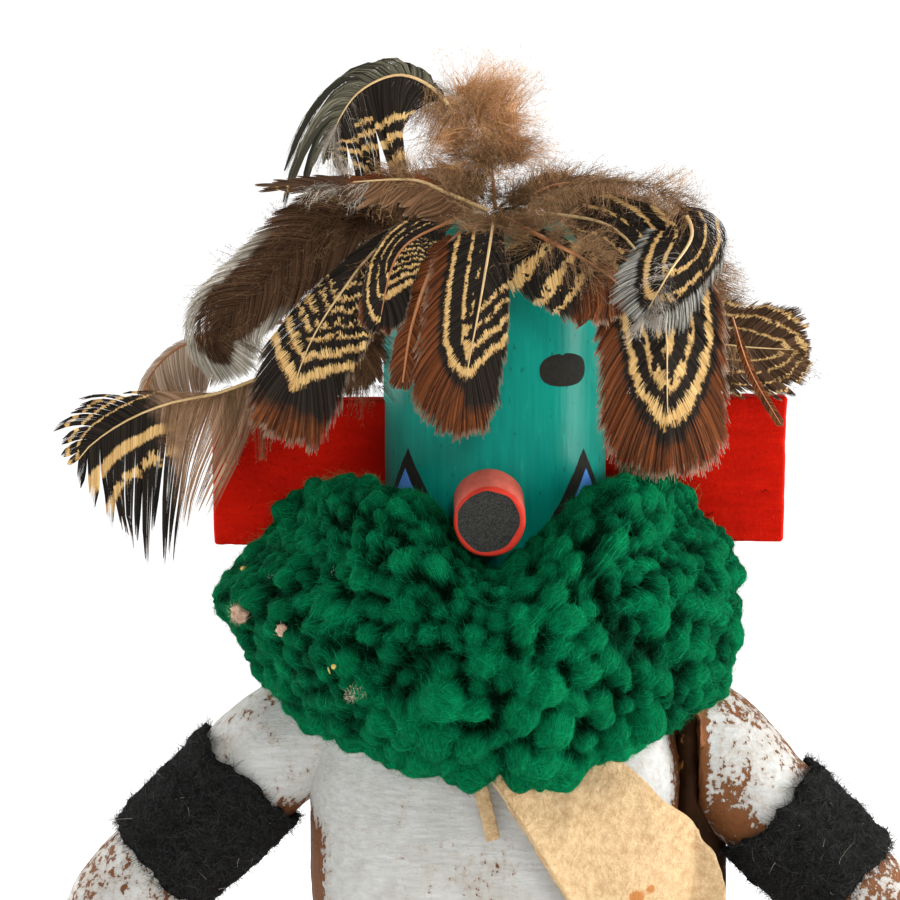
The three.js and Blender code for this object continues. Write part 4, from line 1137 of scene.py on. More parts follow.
def ruff_skin(angle, phi):
    """A point on the ruff's skin and the way out of it. angle 0 is the throat, phi 0 the outermost line."""
    turned = np.where(angle > np.pi, angle - 2 * np.pi, angle)
    throat = np.exp(-((turned / 0.62) ** 2))
    notch = np.exp(-((turned / np.where(turned < 0, 0.30, 0.37)) ** 2))
    back = smooth01(np.maximum(0, (np.abs(turned) / np.pi - 0.45) / 0.55))
    above = smooth01(0.5 + 1.5 * np.sin(phi))
    high = 31 - 7 * back + above * (8 * throat - 18 * notch) - (1 - above) * 1.5 * throat
    radial = 20.3 - 4.3 * back
    z = 236 + 2 * back - 8 * throat
    out = np.stack([np.sin(angle), -np.cos(angle), 0 * angle], -1)
    up = np.array([0, 0, 1.0])
    centre = np.stack([41 * out[..., 0], 40 * out[..., 1] - 2, z], -1)
    round_x, round_z = oval(np.cos(phi), 2.2), oval(np.sin(phi), 2.2)
    p = centre + (radial * round_x)[..., None] * out + (high * round_z)[..., None] * up
    n = unit((np.cos(phi) / radial)[..., None] * out + (np.sin(phi) / high)[..., None] * up)
    # The outline seen from the front, as a stretch about the middle of the bunch.
    mid_x, mid_z = -4.0, 229.5
    dx, dz = p[..., 0] - mid_x, p[..., 2] - mid_z
    turn = np.degrees(np.arctan2(dz, dx)) % 360
    grow = RUFF_REACH
    for middle, half, more in BULGES:
        grow = grow + more * np.exp(-(((turn - middle + 180) % 360 - 180) / half) ** 2)
    grow = 1 + (grow - 1) * smooth01((60 - p[..., 1]) / 40)
    return np.stack([dx * grow + mid_x, p[..., 1], dz * grow + mid_z], -1), n


def scatter(points, gaps):
    """Numbers of points kept so that each is at least its gap from those kept before it."""
    cell = 8.5
    kept, cells = [], {}
    for i, q in enumerate(points):
        key = tuple((q // cell).astype(int))
        near = [j for dx in (-1, 0, 1) for dy in (-1, 0, 1) for dz in (-1, 0, 1)
                for j in cells.get((key[0] + dx, key[1] + dy, key[2] + dz), ())]
        if all(np.dot(q - points[j], q - points[j]) > gaps[i] ** 2 for j in near):
            cells.setdefault(key, []).append(i)
            kept.append(i)
    return np.array(kept)


# Deep lines between the bunches, as seen from the front: (x, height) points, depth and width.
CREVICES = [([(23, 254), (22, 244), (25, 235), (32, 226), (41, 223)], 2.9, 2.8),
            ([(11, 226), (8, 215), (3, 210), (1.5, 201), (0.5, 190)], 2.6, 2.0),
            ([(-10, 246), (-16.5, 235), (-15, 223), (-22, 214)], 1.2, 2.4),
            ([(34, 214), (25, 218), (15, 219)], 1.2, 1.8)]


def seen_from_front(p):
    """Where a point lies in the front view, as x and height in mm at the depth of the axis."""
    near = np.minimum(p[..., 1], 0)
    return p[..., 0] / (1 + near / CAMERA_FAR), p[..., 2] + CAMERA_DROP * near


def line_distance(x, z, points):
    """Distance from a line through (x, height) points."""
    pts = np.array(points, float)
    best = np.full(np.shape(x), 1e9)
    for a, b in zip(pts[:-1], pts[1:]):
        d = b - a
        t = np.clip(((x - a[0]) * d[0] + (z - a[1]) * d[1]) / (d @ d), 0, 1)
        best = np.minimum(best, np.hypot(x - a[0] - t * d[0], z - a[1] - t * d[1]))
    return best


class Fleece:
    """The ruff's skin as a lattice of soft lumps of yarn, and the flow of the fibres over it."""

    def __init__(self, rng):
        front = np.linspace(-1.9, 1.9, 270)
        back = np.linspace(1.9, 2 * np.pi - 1.9, 62)[1:-1]
        outer = np.linspace(-2.1, 2.2, 112)
        inner = np.linspace(2.2, 2 * np.pi - 2.1, 12)[1:-1]
        angle, phi = np.meshgrid(np.concatenate([front, back]), np.concatenate([outer, inner]), indexing="ij")
        self.rows, self.cols, self.fine_rows, self.fine_cols = *angle.shape, len(front), len(outer)
        p, n = ruff_skin(angle, phi)
        self.angle = np.where(angle > np.pi, angle - 2 * np.pi, angle)
        x, z = seen_from_front(p)
        # Lumps of yarn: small and round in the lobes, big and twisted at the bottom of the front.
        many = 26000
        ca, cf = rng.uniform(0, 2 * np.pi, many), rng.uniform(-2.3, 2.4, many)
        c, cn = ruff_skin(ca, cf)
        off = np.abs(np.where(ca > np.pi, ca - 2 * np.pi, ca))
        cx, cz = seen_from_front(c)
        big = smooth01((226 - cz) / 20) * np.exp(-((cx - 4) / 32) ** 2)
        big = np.clip(big + 0.7 * np.exp(-(((cx - 14) / 12) ** 2 + ((cz - 234) / 16) ** 2)), 0, 1)
        gap = np.where(off < 1.9, 3.9 + 3.7 * big, 6.5) * rng.uniform(0.64, 1.40, many)
        keep = scatter(c, gap)
        c, cn, gap, big = c[keep], cn[keep], gap[keep], big[keep]
        m = len(keep)
        flow = unit(np.cross(cn, np.cross(rng.normal(size=(m, 3)) + [0, 0, 0.6], cn)))
        cross = np.cross(cn, flow)
        size = gap * (0.60 - 0.07 * big)
        tall = 1.0 + 0.35 * big + rng.uniform(-0.1, 0.18, m)
        lift = rng.normal(size=m) * (0.45 + 0.5 * big)
        tree = KDTree(m)
        for i, q in enumerate(c):
            tree.insert(q, i)
        tree.balance()
        flat = p.reshape(-1, 3)
        near = np.array([[hit[1] for hit in tree.find_n(q, 5)] for q in flat])
        d = flat[:, None] - c[near]
        a = np.einsum("nkx,nkx->nk", d, flow[near])
        b = np.einsum("nkx,nkx->nk", d, cross[near])
        rest = np.maximum(np.einsum("nkx,nkx->nk", d, d) - a**2, 0)
        q = (rest + (a / tall[near]) ** 2) / size[near] ** 2
        dome = np.sqrt(np.maximum(1.50 - q, 0.0)) * (1 + 0.35 * big[near])
        h = size[near] * (dome - 0.4 * np.maximum(q - 1.2, 0)) + lift[near]
        # Neighbouring lumps blend where they meet; a higher number makes the creases sharper.
        soft = 2.3
        top = np.log(np.exp(soft * h).sum(1)) / soft
        best = h.argmax(1)
        pick = lambda v: v[np.arange(len(flat)), best]
        who = near[np.arange(len(flat)), best]
        ply = np.abs(np.cos(np.pi * (pick(b) * 0.95 + pick(a) * 0.6) / size[who]))
        top = top - 0.30 * size[who] * big[who] * (1 - ply**0.6)
        shape = angle.shape
        self.height = top.reshape(shape)
        self.tone_lump = rng.uniform(0, 1, m)[who].reshape(shape)
        self.round = (pick(b) / size[who]).reshape(shape)
        self.strand = pick(a).reshape(shape)
        self.flow = unit(flow[who] + cross[who] * (0.55 * big[who])[:, None]).reshape(*shape, 3)
        waves = 1.7 * lumps(p, 14, 78) + 0.9 * lumps(p, 6, 76) + 0.30 * lumps(p, 1.5, 79, 3)
        push = self.height - 3.4 + waves
        facing = smooth01((0.1 - n[..., 1]) / 0.4)
        hollow = np.zeros(shape)
        for points, depth, wide in CREVICES:
            away = line_distance(x, z, points) * (1 + 0.6 * lumps(p, 5, 75))
            hollow = hollow + depth * np.exp(-(away / wide) ** 2) * facing
        push = push - hollow
        push[:, self.fine_cols:] = -1.5
        self.p = p + n * push[..., None]
        flat_r = np.hypot(self.p[..., 0], self.p[..., 1])
        least = np.where(self.p[..., 2] > 242.5, MASK_R + 0.15, 17.5)
        self.p[..., :2] *= (np.maximum(flat_r, least) / np.maximum(flat_r, 1e-6))[..., None]
        self.buried = flat_r < least + 0.8
        # deep is painted shade: near 1 in the creases and hollows between the lumps, near 0 on their tops.
        span = np.percentile(self.height, [6, 92])
        self.deep = np.clip(1 - (self.height - span[0]) / (span[1] - span[0]) + hollow * 0.12, 0, 1)
        ga = (np.roll(self.p, -1, 0) - np.roll(self.p, 1, 0)) / 2
        gb = (np.roll(self.p, -1, 1) - np.roll(self.p, 1, 1)) / 2
        self.ga, self.gb = ga, gb
        self.n = unit(np.cross(gb, ga))
        if np.einsum("...x,...x->...", self.n, n).mean() < 0:
            self.n = -self.n

    def take(self, field, a, b):
        """Values of a lattice field at fractional places."""
        i, j = np.floor(a).astype(int), np.floor(b).astype(int)
        f, g = a - i, b - j
        if field.ndim == 3:
            f, g = f[..., None], g[..., None]
        i0, i1, j0, j1 = i % self.rows, (i + 1) % self.rows, j % self.cols, (j + 1) % self.cols
        return (field[i0, j0] * (1 - f) * (1 - g) + field[i1, j0] * f * (1 - g)
                + field[i0, j1] * (1 - f) * g + field[i1, j1] * f * g)

    def roots(self, rng, count, back_share):
        """Random places on the skin for fibres, few of them at the back and none where it is buried."""
        area = np.linalg.norm(np.cross(self.ga, self.gb), axis=-1)
        area[:, self.fine_cols - 1:] = 0
        area[self.buried] = 0
        area = area * np.where(np.abs(self.angle) < 1.9, 1.0, back_share)
        cell = rng.choice(area.size, count, p=(area / area.sum()).ravel())
        i, j = np.divmod(cell, self.cols)
        return i + rng.uniform(0, 1, count), j + rng.uniform(0, 1, count)

    def fibres(self, rng, a, b, length, lift, width, steps, wander, bend=0.5):
        """Ribbons lying over the lumps, rising by lift at the free end."""
        m = len(a)
        v = np.linspace(0, 1, steps)[None, :]
        i, j = a.astype(int) % self.rows, b.astype(int) % self.cols
        n, ga, gb = self.n[i, j], self.ga[i, j], self.gb[i, j]
        flow = self.flow[i, j] * rng.choice([-1, 1], (m, 1))
        turn = rng.normal(size=(m, 1)) * wander
        d = unit(flow * np.cos(turn) + np.cross(n, flow) * np.sin(turn))
        e = np.cross(n, d)
        bent = rng.normal(size=(m, 1)) * bend
        away = (length[:, None] * v)[..., None] * d[:, None]
        away = away + (length[:, None] * bent * v**2)[..., None] * e[:, None]
        at_a = a[:, None] + np.einsum("mkx,mx->mk", away, ga) / np.einsum("mx,mx->m", ga, ga)[:, None]
        at_b = b[:, None] + np.einsum("mkx,mx->mk", away, gb) / np.einsum("mx,mx->m", gb, gb)[:, None]
        p, nn = self.take(self.p, at_a, at_b), unit(self.take(self.n, at_a, at_b))
        rise = 0.06 + lift[:, None] * v**1.5
        line = p + nn * rise[..., None]
        t = unit(np.gradient(line, axis=1))
        side = unit(np.cross(t, nn + 0.5 * rng.normal(size=(m, 1, 3))))
        w = (width * rng.uniform(0.7, 1.3, (m, 1))) * (1 - 0.6 * v)
        verts, faces = ribbons(line, side, w)
        lump = 0.35 * (self.tone_lump[i, j][:, None] - 0.5)
        tone = np.clip(rng.beta(1.3, 1.9, (m, 1)) + lump, 0, 1) + 0 * v
        # Painted shade: each fibre takes the skin's deep where it lies, less of it as it lifts away.
        deep = self.take(self.deep, at_a, at_b) - 0.12 * lift[:, None] * v
        return verts, faces, dict(tone=np.repeat(tone.ravel(), 2), deep=np.repeat(deep.ravel(), 2))


def make_ruff():
    rng = np.random.default_rng(77)
    fleece = Fleece(rng)
    skin = grid(fleece.rows, fleece.cols, loop_cols=True, loop_rows=True)
    build("yarn_ruff_loops", fleece.p.reshape(-1, 3), skin, YARN, "green_yarn",
          replaces=("yarn_ruff",), attrs={"deep": fleece.deep.ravel(), "round": fleece.round.ravel(),
                                          "strand": fleece.strand.ravel(), "tone": fleece.tone_lump.ravel()})
    fuzz = {}
    for count, length, lift, width, steps, wander, back_share in (
            (32000, (1.5, 3.8), (0.02, 0.50), 0.100, 3, 0.8, 0.05),
            (29000, (0.8, 2.8), (0.30, 1.90), 0.065, 3, 1.6, 0.05),
            (4200, (2.5, 6.5), (0.6, 3.0), 0.055, 5, 1.6, 0.1)):
        a, b = fleece.roots(rng, count, back_share)
        where = np.digitize(fleece.angle[a.astype(int) % fleece.rows, 0], [-1.7, -0.40, 0.55, 1.7]) % 4
        size = rng.uniform(*length, count)
        rise = lift[0] + (lift[1] - lift[0]) * rng.uniform(0, 1, count) ** 1.6
        for k in range(4):
            sel = where == k
            hairs = fleece.fibres(rng, a[sel], b[sel], size[sel], rise[sel], width, steps, wander)
            fuzz.setdefault(k, []).append(hairs)
    for k, label in enumerate(("back", "left", "centre", "right")):
        parts = Parts("tone", "deep")
        for verts, faces, attrs in fuzz[k]:
            parts.add(verts, faces, 0, **attrs)
        parts.build(f"yarn_ruff_fuzz_{label}", [YARN_FUZZ], "green_yarn", replaces=("yarn_ruff",))
    make_burrs(rng, fleece)


# Burrs and lint caught in the yarn, seen from the front: x, height, size, kind, number of hairs.
BURRS = [(-51, 230.1, 1.7, "burr", 60), (-60, 233.6, 2.6, "burr", 260), (-33, 216.7, 2.2, "lint", 90),
         (-34.5, 215.3, 1.6, "lint", 60), (-38.8, 222, 0.7, "seed", 12), (-53.3, 241, 0.8, "lint", 16),
         (-59.2, 242.3, 0.9, "seed", 20), (-38.8, 242.5, 0.9, "lint", 18)]
# The material numbers of each kind's hairs and body. Lint has no body.
BURR_MATERIALS = {"burr": (0, 0), "lint": (2, None), "seed": (3, 3)}
STRAW_LINE = [(-38.8, 221.8), (-38.3, 220), (-36.7, 218.3), (-34.1, 217.4)]


def make_burrs(rng, fleece):
    parts = Parts("tone")
    x, z = seen_from_front(fleece.p)
    turned_away = 50 * (fleece.n[..., 1] > 0.15)

    def on_fleece(at_x, at_z):
        """The point of the fleece seen at x and height, and the way out of it."""
        miss = np.hypot(x - at_x, z - at_z) + turned_away
        place = np.unravel_index(miss.argmin(), miss.shape)
        return fleece.p[place], fleece.n[place]

    for at_x, at_z, size, kind, count in BURRS:
        hair_mat, body_mat = BURR_MATERIALS[kind]
        spot, way = on_fleece(at_x, at_z)
        spot = spot + way * size * 0.1
        ball = unit(rng.normal(size=(count, 3)) + 0.5 * way)
        v, f, tone = fibres(rng, spot + ball * size * 0.8, ball, size * 0.5, 0.08, spread=1.6, bend=1.2,
                            steps=4)
        parts.add(v, f, hair_mat, tone=tone)
        if body_mat is not None:
            u, w = np.meshgrid(np.linspace(0, np.pi, 12), around(20), indexing="ij")
            body = np.stack([np.sin(u) * np.cos(w), np.sin(u) * np.sin(w), np.cos(u)], -1)
            body = body * (size * (0.80 + 0.30 * lumps(body, 0.6, at_x, 3)))[..., None] + spot
            parts.add(body, grid(12, 20, loop_cols=True), body_mat, tone=rng.uniform(0, 1, 240))
    ends = [spot + way * 1.7 for spot, way in (on_fleece(*place) for place in STRAW_LINE)]
    parts.add(tube(Path(ends, n=16), np.full(16, 0.17), 6), grid(16, 6, loop_cols=True), 3, tone=0.6)
    parts.build("yarn_ruff_burrs", [BURR, LINT, LINT, STRAW], "green_yarn", replaces=("yarn_ruff",))


# ---------------------------------------------------------------- feathers

FEATHERS = {
    "crest_barred": dict(
        quill=[(-1, -3, 3), (-7, -6, 19), (-13.5, -8, 30), (-22, -9, 34), (-31, -10, 30.5),
            (-36, -10.5, 24), (-39, -11, 16)], width=(19, 11.5), facing=(0, -1, 0.3), fold=0,
        pattern="crest_barred", split=1.0, droop=(0.75, 1.1), start=0.42, end=0.96, shaft_start=0.4,
        shaft_end=0.93, locks=(26, 52), pull=(0.66, 1.0), uneven=0.14, sparse=0.35, density=7,
        down=[(0.36, 0.5, 260, 9, "brown"), (0.45, 0.72, 90, 9), (0.75, 0.95, 90, 9)], sag=0.7,
        fluff="grey", more=dict(lean=(0.1, 0, -0.9), draw=0.4)),
    "crest_down": dict(
        quill=[(0, 1, 3), (-1, 1, 13), (-4, 0.5, 24), (-9.5, 0, 34)], width=(12, 12), facing=(0, -1, 0.1),
        fold=0, pattern=None, down=[(0.3, 0.88, 3900, 11.5), (0.0, 0.42, 1500, 9, "brown")], sag=0.12,
        shaft="rust", fluff="tan", more=dict(wide=7.0, draw=0.42, lean=(0.12, 0, 0.05), knots=2,
                                             ahead=(-0.5, 0.8), thick=0.11, curl=0.6)),
    "brow_left": dict(
        quill=[(-2, -11, 2.8), (-11.6, -15, 7.2), (-18, -16, 9.9), (-34, -17.5, 9.6), (-53, -19, 8.6)],
        width=(9.5, 2.0), facing=(0, -1, 0.5), fold=0, pattern="brow_left", split=1.3, uneven=0.12,
        down=[(0.0, 0.5, 620, 9), (0.55, 0.8, 130, 6, "grey")], end=0.86, shaft_end=0.62, shaft_r=0.72,
        locks=(6, 16), more=dict(knots=2, wide=3.0),
        grow=(([0.1, 0.35, 0.6, 0.8], [0.9, 1.0, 0.6, 0.22]), None)),
    "brow_centre": dict(
        quill=[(-0.5, -13, 1.5), (-1.5, -29.6, -3.6), (-4, -34.5, -18), (-7, -35, -35), (-7.6, -33, -47.5)],
        width=(8.0, 12.5), facing=(0, -1, 0.35), fold=4, pattern="brow_centre", split=0.35,
        down=[(0.0, 0.22, 900, 9)], end=0.75, blunt=3.0, density=8, more=dict(knots=2, wide=5.0),
        grow=(([0.0, 0.3, 0.5, 0.7], [0.15, 0.45, 0.85, 1.0]), None)),
    "brow_right": dict(
        quill=[(1.5, -12, 1.2), (12, -27.5, -3.4), (21, -30, -8.2), (28, -29.5, -13.5), (31, -28.5, -19)],
        width=(2.6, 14.5), facing=(0.3, -1, 0.3), fold=0, pattern="brow_right", split=0.5,
        down=[(0.0, 0.75, 1200, 9)], shaft="rust", shaft_r=0.9, density=8, end=0.88,
        more=dict(knots=2, wide=4.0, lean=(0, 0, 0.6))),
    "brow_rust": dict(
        quill=[(-3.5, -12, 1.6), (-13.4, -28.6, -7.5), (-18.8, -30.6, -21), (-21.5, -30.6, -37)],
        width=(3.2, 3.8), facing=(-0.4, -1, 0.3), fold=0, pattern="rust", split=0.7,
        down=[(0.0, 0.15, 12, 6)], shaft="rust", shaft_r=0.95, sparse=0.5, uneven=0.12),
    "ear_right_large": dict(
        quill=[(9, -9, 2.6), (27, -20, -1), (37, -29, -16), (38.6, -32, -40), (39.0, -31, -57)],
        width=(14.5, 15.5), facing=(0.1, -1, 0.25), fold=8, pattern="ear_right_large", split=0.3,
        down=[(0.0, 0.45, 300, 9)], end=0.8, blunt=3.4, density=8, fluff="dark"),
    "temple_right_curl": dict(
        quill=[(8, -6, 6), (26, -14, 10), (38.5, -24, 7), (44, -31, -1), (38.5, -37, -10),
            (32, -39.5, -21)], width=(9.5, 10), facing=(0.0, -1, 0.25), fold=6, pattern="temple_right_curl",
        split=0.5, sparse=0.5, locks=(2, 7), start=0.56, base=0.85, end=0.93, blunt=3.0, density=10,
        shaft_start=0.6, uneven=0.08, down=[(0.05, 0.62, 620, 9), (0.7, 0.98, 220, 7, "grey")],
        more=dict(lean=(0.1, 0, -0.2), knots=3)),
    "side_right": dict(
        quill=[(26, -3, -18), (41, -8, -26), (56, -10, -28.5), (73, -10, -29.5)], width=(11, 11),
        facing=(0, -1, 0.2), fold=4, pattern="side_right", split=0.7, uneven=0.09,
        down=[(0.0, 0.95, 260, 9)], blunt=2.6, end=0.9, density=8),
    "crown_right_down": dict(
        quill=[(4, 2, 3.5), (16, 4, 8.5), (33, 4, 4.5), (46, 2, -5), (54, 0, -24)], width=(4, 4),
        facing=(0.45, -0.2, 1), fold=10, pattern="brown", split=0.8, down=[(0.0, 1.0, 4100, 9.5)],
        fluff="brown", shaft="rust", more=dict(wide=6.0, knots=2, draw=0.22, thick=0.16, curl=0.5)),
    "sliver_right": dict(
        quill=[(54, -21, -21), (58, -22, -33), (65.5, -21, -46)], width=(1.0, 1.2), facing=(0, -1, 0.2),
        fold=0, pattern="rust", split=0.6, down=None, shaft="rust", blunt=2.0, shaft_r=0.24),
    "temple_left_large": dict(
        quill=[(-11, -13, 1.4), (-26, -20, -4.5), (-35.5, -25, -15.5), (-42.5, -27, -27), (-50, -27, -49)],
        width=(11.5, 11.5), facing=(-0.3, -1, 0.3), fold=6, pattern="temple_left_large", split=0.6,
        down=[(0.0, 0.35, 120, 8)], end=0.78, blunt=3.6, density=8,
        grow=(None, ([0.0, 0.3, 0.6, 0.8], [0.12, 0.28, 0.72, 1.0]))),
    "temple_left_small": dict(
        quill=[(-8, -14, 1.6), (-22, -27, -6), (-27, -30.5, -24)], width=(6, 6), facing=(-0.4, -1, 0.3),
        fold=0, pattern="temple_left_small", split=0.4, down=[(0.0, 0.2, 16, 6)], shaft="rust"),
    "temple_left_brown": dict(
        quill=[(-21, -12, -3), (-30.5, -16, -19), (-31, -15, -38)], width=(6.5, 6.5),
        facing=(-0.6, -1, 0.2), fold=0, pattern="brown", split=0.9, down=[(0.0, 1.0, 900, 8)], fluff="dark",
        more=dict(knots=2, wide=5.0)),
    "curl_left": dict(
        quill=[(-11, -4, 3.5), (-36, -5, 0), (-55, -8, -15), (-65, -10, -27), (-59, -12, -36)],
        width=(13, 12), facing=(0.25, -1.0, 0.35), fold=-42, pattern="soft", split=0.35, density=9,
        shaft_end=0.12, down=[(0.02, 0.8, 1800, 7.5), (0.0, 0.55, 700, 9.5, "brown")], fluff="dark",
        sag=0.1, more=dict(wide=7.5, knots=2, draw=0.25, fold=-42, curl=0.5)),
    "side_left_far": dict(
        quill=[(-33, -3, -30), (-53, -6, -35.6), (-64, -9, -39.4), (-76.5, -11, -42), (-86, -11, -46),
            (-94.5, -11, -52), (-98, -11, -56.5)], width=(19, 10), facing=(0, -1, 0.2), fold=4,
        pattern="side_left_far", split=1.1, droop=(0.6, 0.12), down=[(0.25, 0.62, 520, 12)], sag=0.7,
        end=0.97, shaft_end=0.97, blunt=2.4, start=0.3, locks=(12, 34), pull=(0.66, 1.3), uneven=0.15,
        sparse=0.62, density=7, shaft_r=0.62,
        grow=(([0.3, 0.5, 0.6, 0.8, 1.0], [0.6, 0.72, 0.75, 1.0, 0.8]),
            ([0.3, 0.52, 0.62, 0.75, 0.9], [0.0, 0.03, 0.3, 0.75, 1.0])),
        more=dict(lean=(0, 0, -0.9), knots=2, draw=0.6, flat=0.3)),
    "side_left_back": dict(
        quill=[(-50, 6, -24), (-66, 6, -27), (-76, 5, -31), (-82, 4.5, -38), (-83.5, 4, -46)],
        width=(12, 1.5), facing=(-0.1, -1, 0.2), fold=0, pattern="fan", split=0.9, shaft="rust", density=5,
        sparse=0.7, down=[(0.1, 0.95, 130, 8)], more=dict(lean=(0.5, 0, -0.5), knots=2), fluff="tan"),
    "back_centre": dict(
        quill=[(0, 9, 2.6), (2, 27, 0), (3, 37, -18), (2, 37, -47)], width=(12, 12), facing=(0, 1, 0.35),
        fold=8, pattern="back", split=0.4, down=[(0.0, 0.4, 120, 9)], shaft="rust", end=0.8, blunt=3.2,
        density=5),
    "back_left": dict(
        quill=[(-8, 7, 2.8), (-22, 20, 0), (-33, 28, -16), (-40, 27, -43)], width=(12, 12),
        facing=(-0.7, 1, 0.35), fold=8, pattern="back", split=0.4, down=[(0.0, 0.4, 120, 9)], shaft="rust",
        end=0.8, blunt=3.2, density=5),
    "back_right": dict(
        quill=[(8, 7, 2.8), (22, 20, 1), (34, 27, -16), (41, 25, -41)], width=(12, 12),
        facing=(0.7, 1, 0.35), fold=8, pattern="rust", split=0.4, down=[(0.0, 0.4, 120, 9)], shaft="rust",
        end=0.8, blunt=3.2, density=5),
    "back_crest": dict(
        quill=[(-3, 5, 5), (-10, 20, 12), (-14, 36, 8), (-17, 45, -8)], width=(11, 11),
        facing=(-0.1, 0.7, 1), fold=12, pattern="brown", split=0.5, density=5, down=[(0.0, 0.8, 480, 10)],
        more=dict(knots=2)),
    "back_crest_right": dict(
        quill=[(4, 6, 5), (15, 22, 10), (22, 37, 3), (27, 43, -14)], width=(10, 10), facing=(0.2, 0.7, 1),
        fold=12, pattern="brown", split=0.5, density=5, down=[(0.0, 0.7, 480, 10)], fluff="dark",
        more=dict(knots=2)),
}


def add_vane(parts, rng, path, width, fold, split, droop, start, end, density, blunt, base, grow, locks, pull,
             uneven, sparse):
    """Barbs from the shaft out to a rounded or blunt outline, on both sides."""
    fold = math.radians(fold)
    size = path.length
    steps = 7
    for number, (sign, w) in enumerate(((-1, width[0]), (1, width[1]))):
        n = max(12, int(size * (end - start) * density * 1.15))
        x = np.clip((np.arange(n) + 0.5) / n + rng.normal(size=n) * 0.25 / n, 0.0, 1.0)
        s0 = start + (end - start) * x
        # The outline: up the side, then round the tip.
        first = start + 0.75 * w / size
        tip_long = min(max(0.85 * w, (1 - end) * size * 1.15), (1 - first) * size * 0.8)
        turn = 1 - tip_long / size
        corner = np.linspace(0, np.pi / 2, 60)
        up_side = np.linspace(first, turn, 80)
        swell = base + (1 - base) * smooth01((up_side - first) / (0.3 * (turn - first) + 1e-6))
        if grow and grow[number]:
            swell = np.interp(up_side, *grow[number])
        s_line = np.concatenate([up_side, turn + (1 - turn) * np.sin(corner) ** (2 / blunt)])
        b_line = np.concatenate([w * swell, w * swell[-1] * np.cos(corner) ** (2 / blunt)])
        run = np.concatenate([[0], np.cumsum(np.hypot(np.diff(s_line) * size, np.diff(b_line)))])
        s_tip, b_tip = (np.interp(x * run[-1], run, q) for q in (s_line, b_line))
        few, many = locks or (5, 12 + int(14 * split))
        cuts = np.cumsum(rng.integers(few, many, n))
        clump = np.searchsorted(cuts, np.arange(n), side="right")
        shift, lift = rng.normal(size=(2, clump.max() + 1))
        ragged = 1 + 0.03 * rng.normal(size=n) + uneven * split * shift[clump]
        v = np.linspace(0, 1, steps)[None, :]
        ds, db = (s_tip - s0) * ragged, b_tip * ragged
        mid_s, mid_b = (s0 + 0.40 * ds)[:, None], (0.66 * db)[:, None]
        s = (1 - v) ** 2 * s0[:, None] + 2 * v * (1 - v) * mid_s + v**2 * (s0 + ds)[:, None]
        b = 2 * v * (1 - v) * mid_b + v**2 * db[:, None]
        # Barbs hold together in clumps, which part further out.
        for q in (s, b):
            mean = np.array([q[clump == c].mean(0) for c in range(clump.max() + 1)])
            hold, onset = pull or (0.42 * split, 2.2)
            q += (mean[clump] - q) * (hold * v**onset)
        flat = np.stack([s * size, b], -1)
        step = unit(np.gradient(flat, axis=1))
        apart_s, apart_b = (np.gradient(flat[..., k], axis=0) for k in (0, 1))
        gap = np.clip(np.abs(apart_s * step[..., 1] - apart_b * step[..., 0]), 0.05, 0.8)
        p, t, u, l = path.at(s)
        up = -b * math.sin(fold) - 0.05 * b**2 / max(w, 1) + (0.05 * split * lift[clump])[:, None] * b
        up = up + 0.05 * rng.normal(size=(n, 1)) * (0.3 + v)
        line = p + l * (sign * b * math.cos(fold))[..., None] + u * up[..., None]
        hang = np.hypot(ds * size, db) * (0.8 + 0.3 * rng.uniform(size=n))
        line[..., 2] -= droop[number] * hang[:, None] * v**2
        tang = unit(np.gradient(line, axis=1))
        face = unit(u * math.cos(fold) + l * (sign * math.sin(fold)))
        side = unit(np.cross(tang, face))
        tilt = (0.08 + 0.14 * rng.normal(size=(n, 1)))[..., None]
        side = unit(side * np.cos(tilt) + face * np.sin(tilt))
        wide = (1.9 + 0.5 * v) * gap * (1 - sparse * v) * np.minimum(1, (1.03 - v) / 0.12)
        verts, faces = ribbons(line, side, wide)
        values = dict(s=s, t=sign * b / w, v=v, tone=rng.uniform(0, 1, (n, 1)))
        values = {key: np.repeat((q * np.ones((n, steps))).ravel(), 2) for key, q in values.items()}
        parts.add(verts, faces, 0, **values)


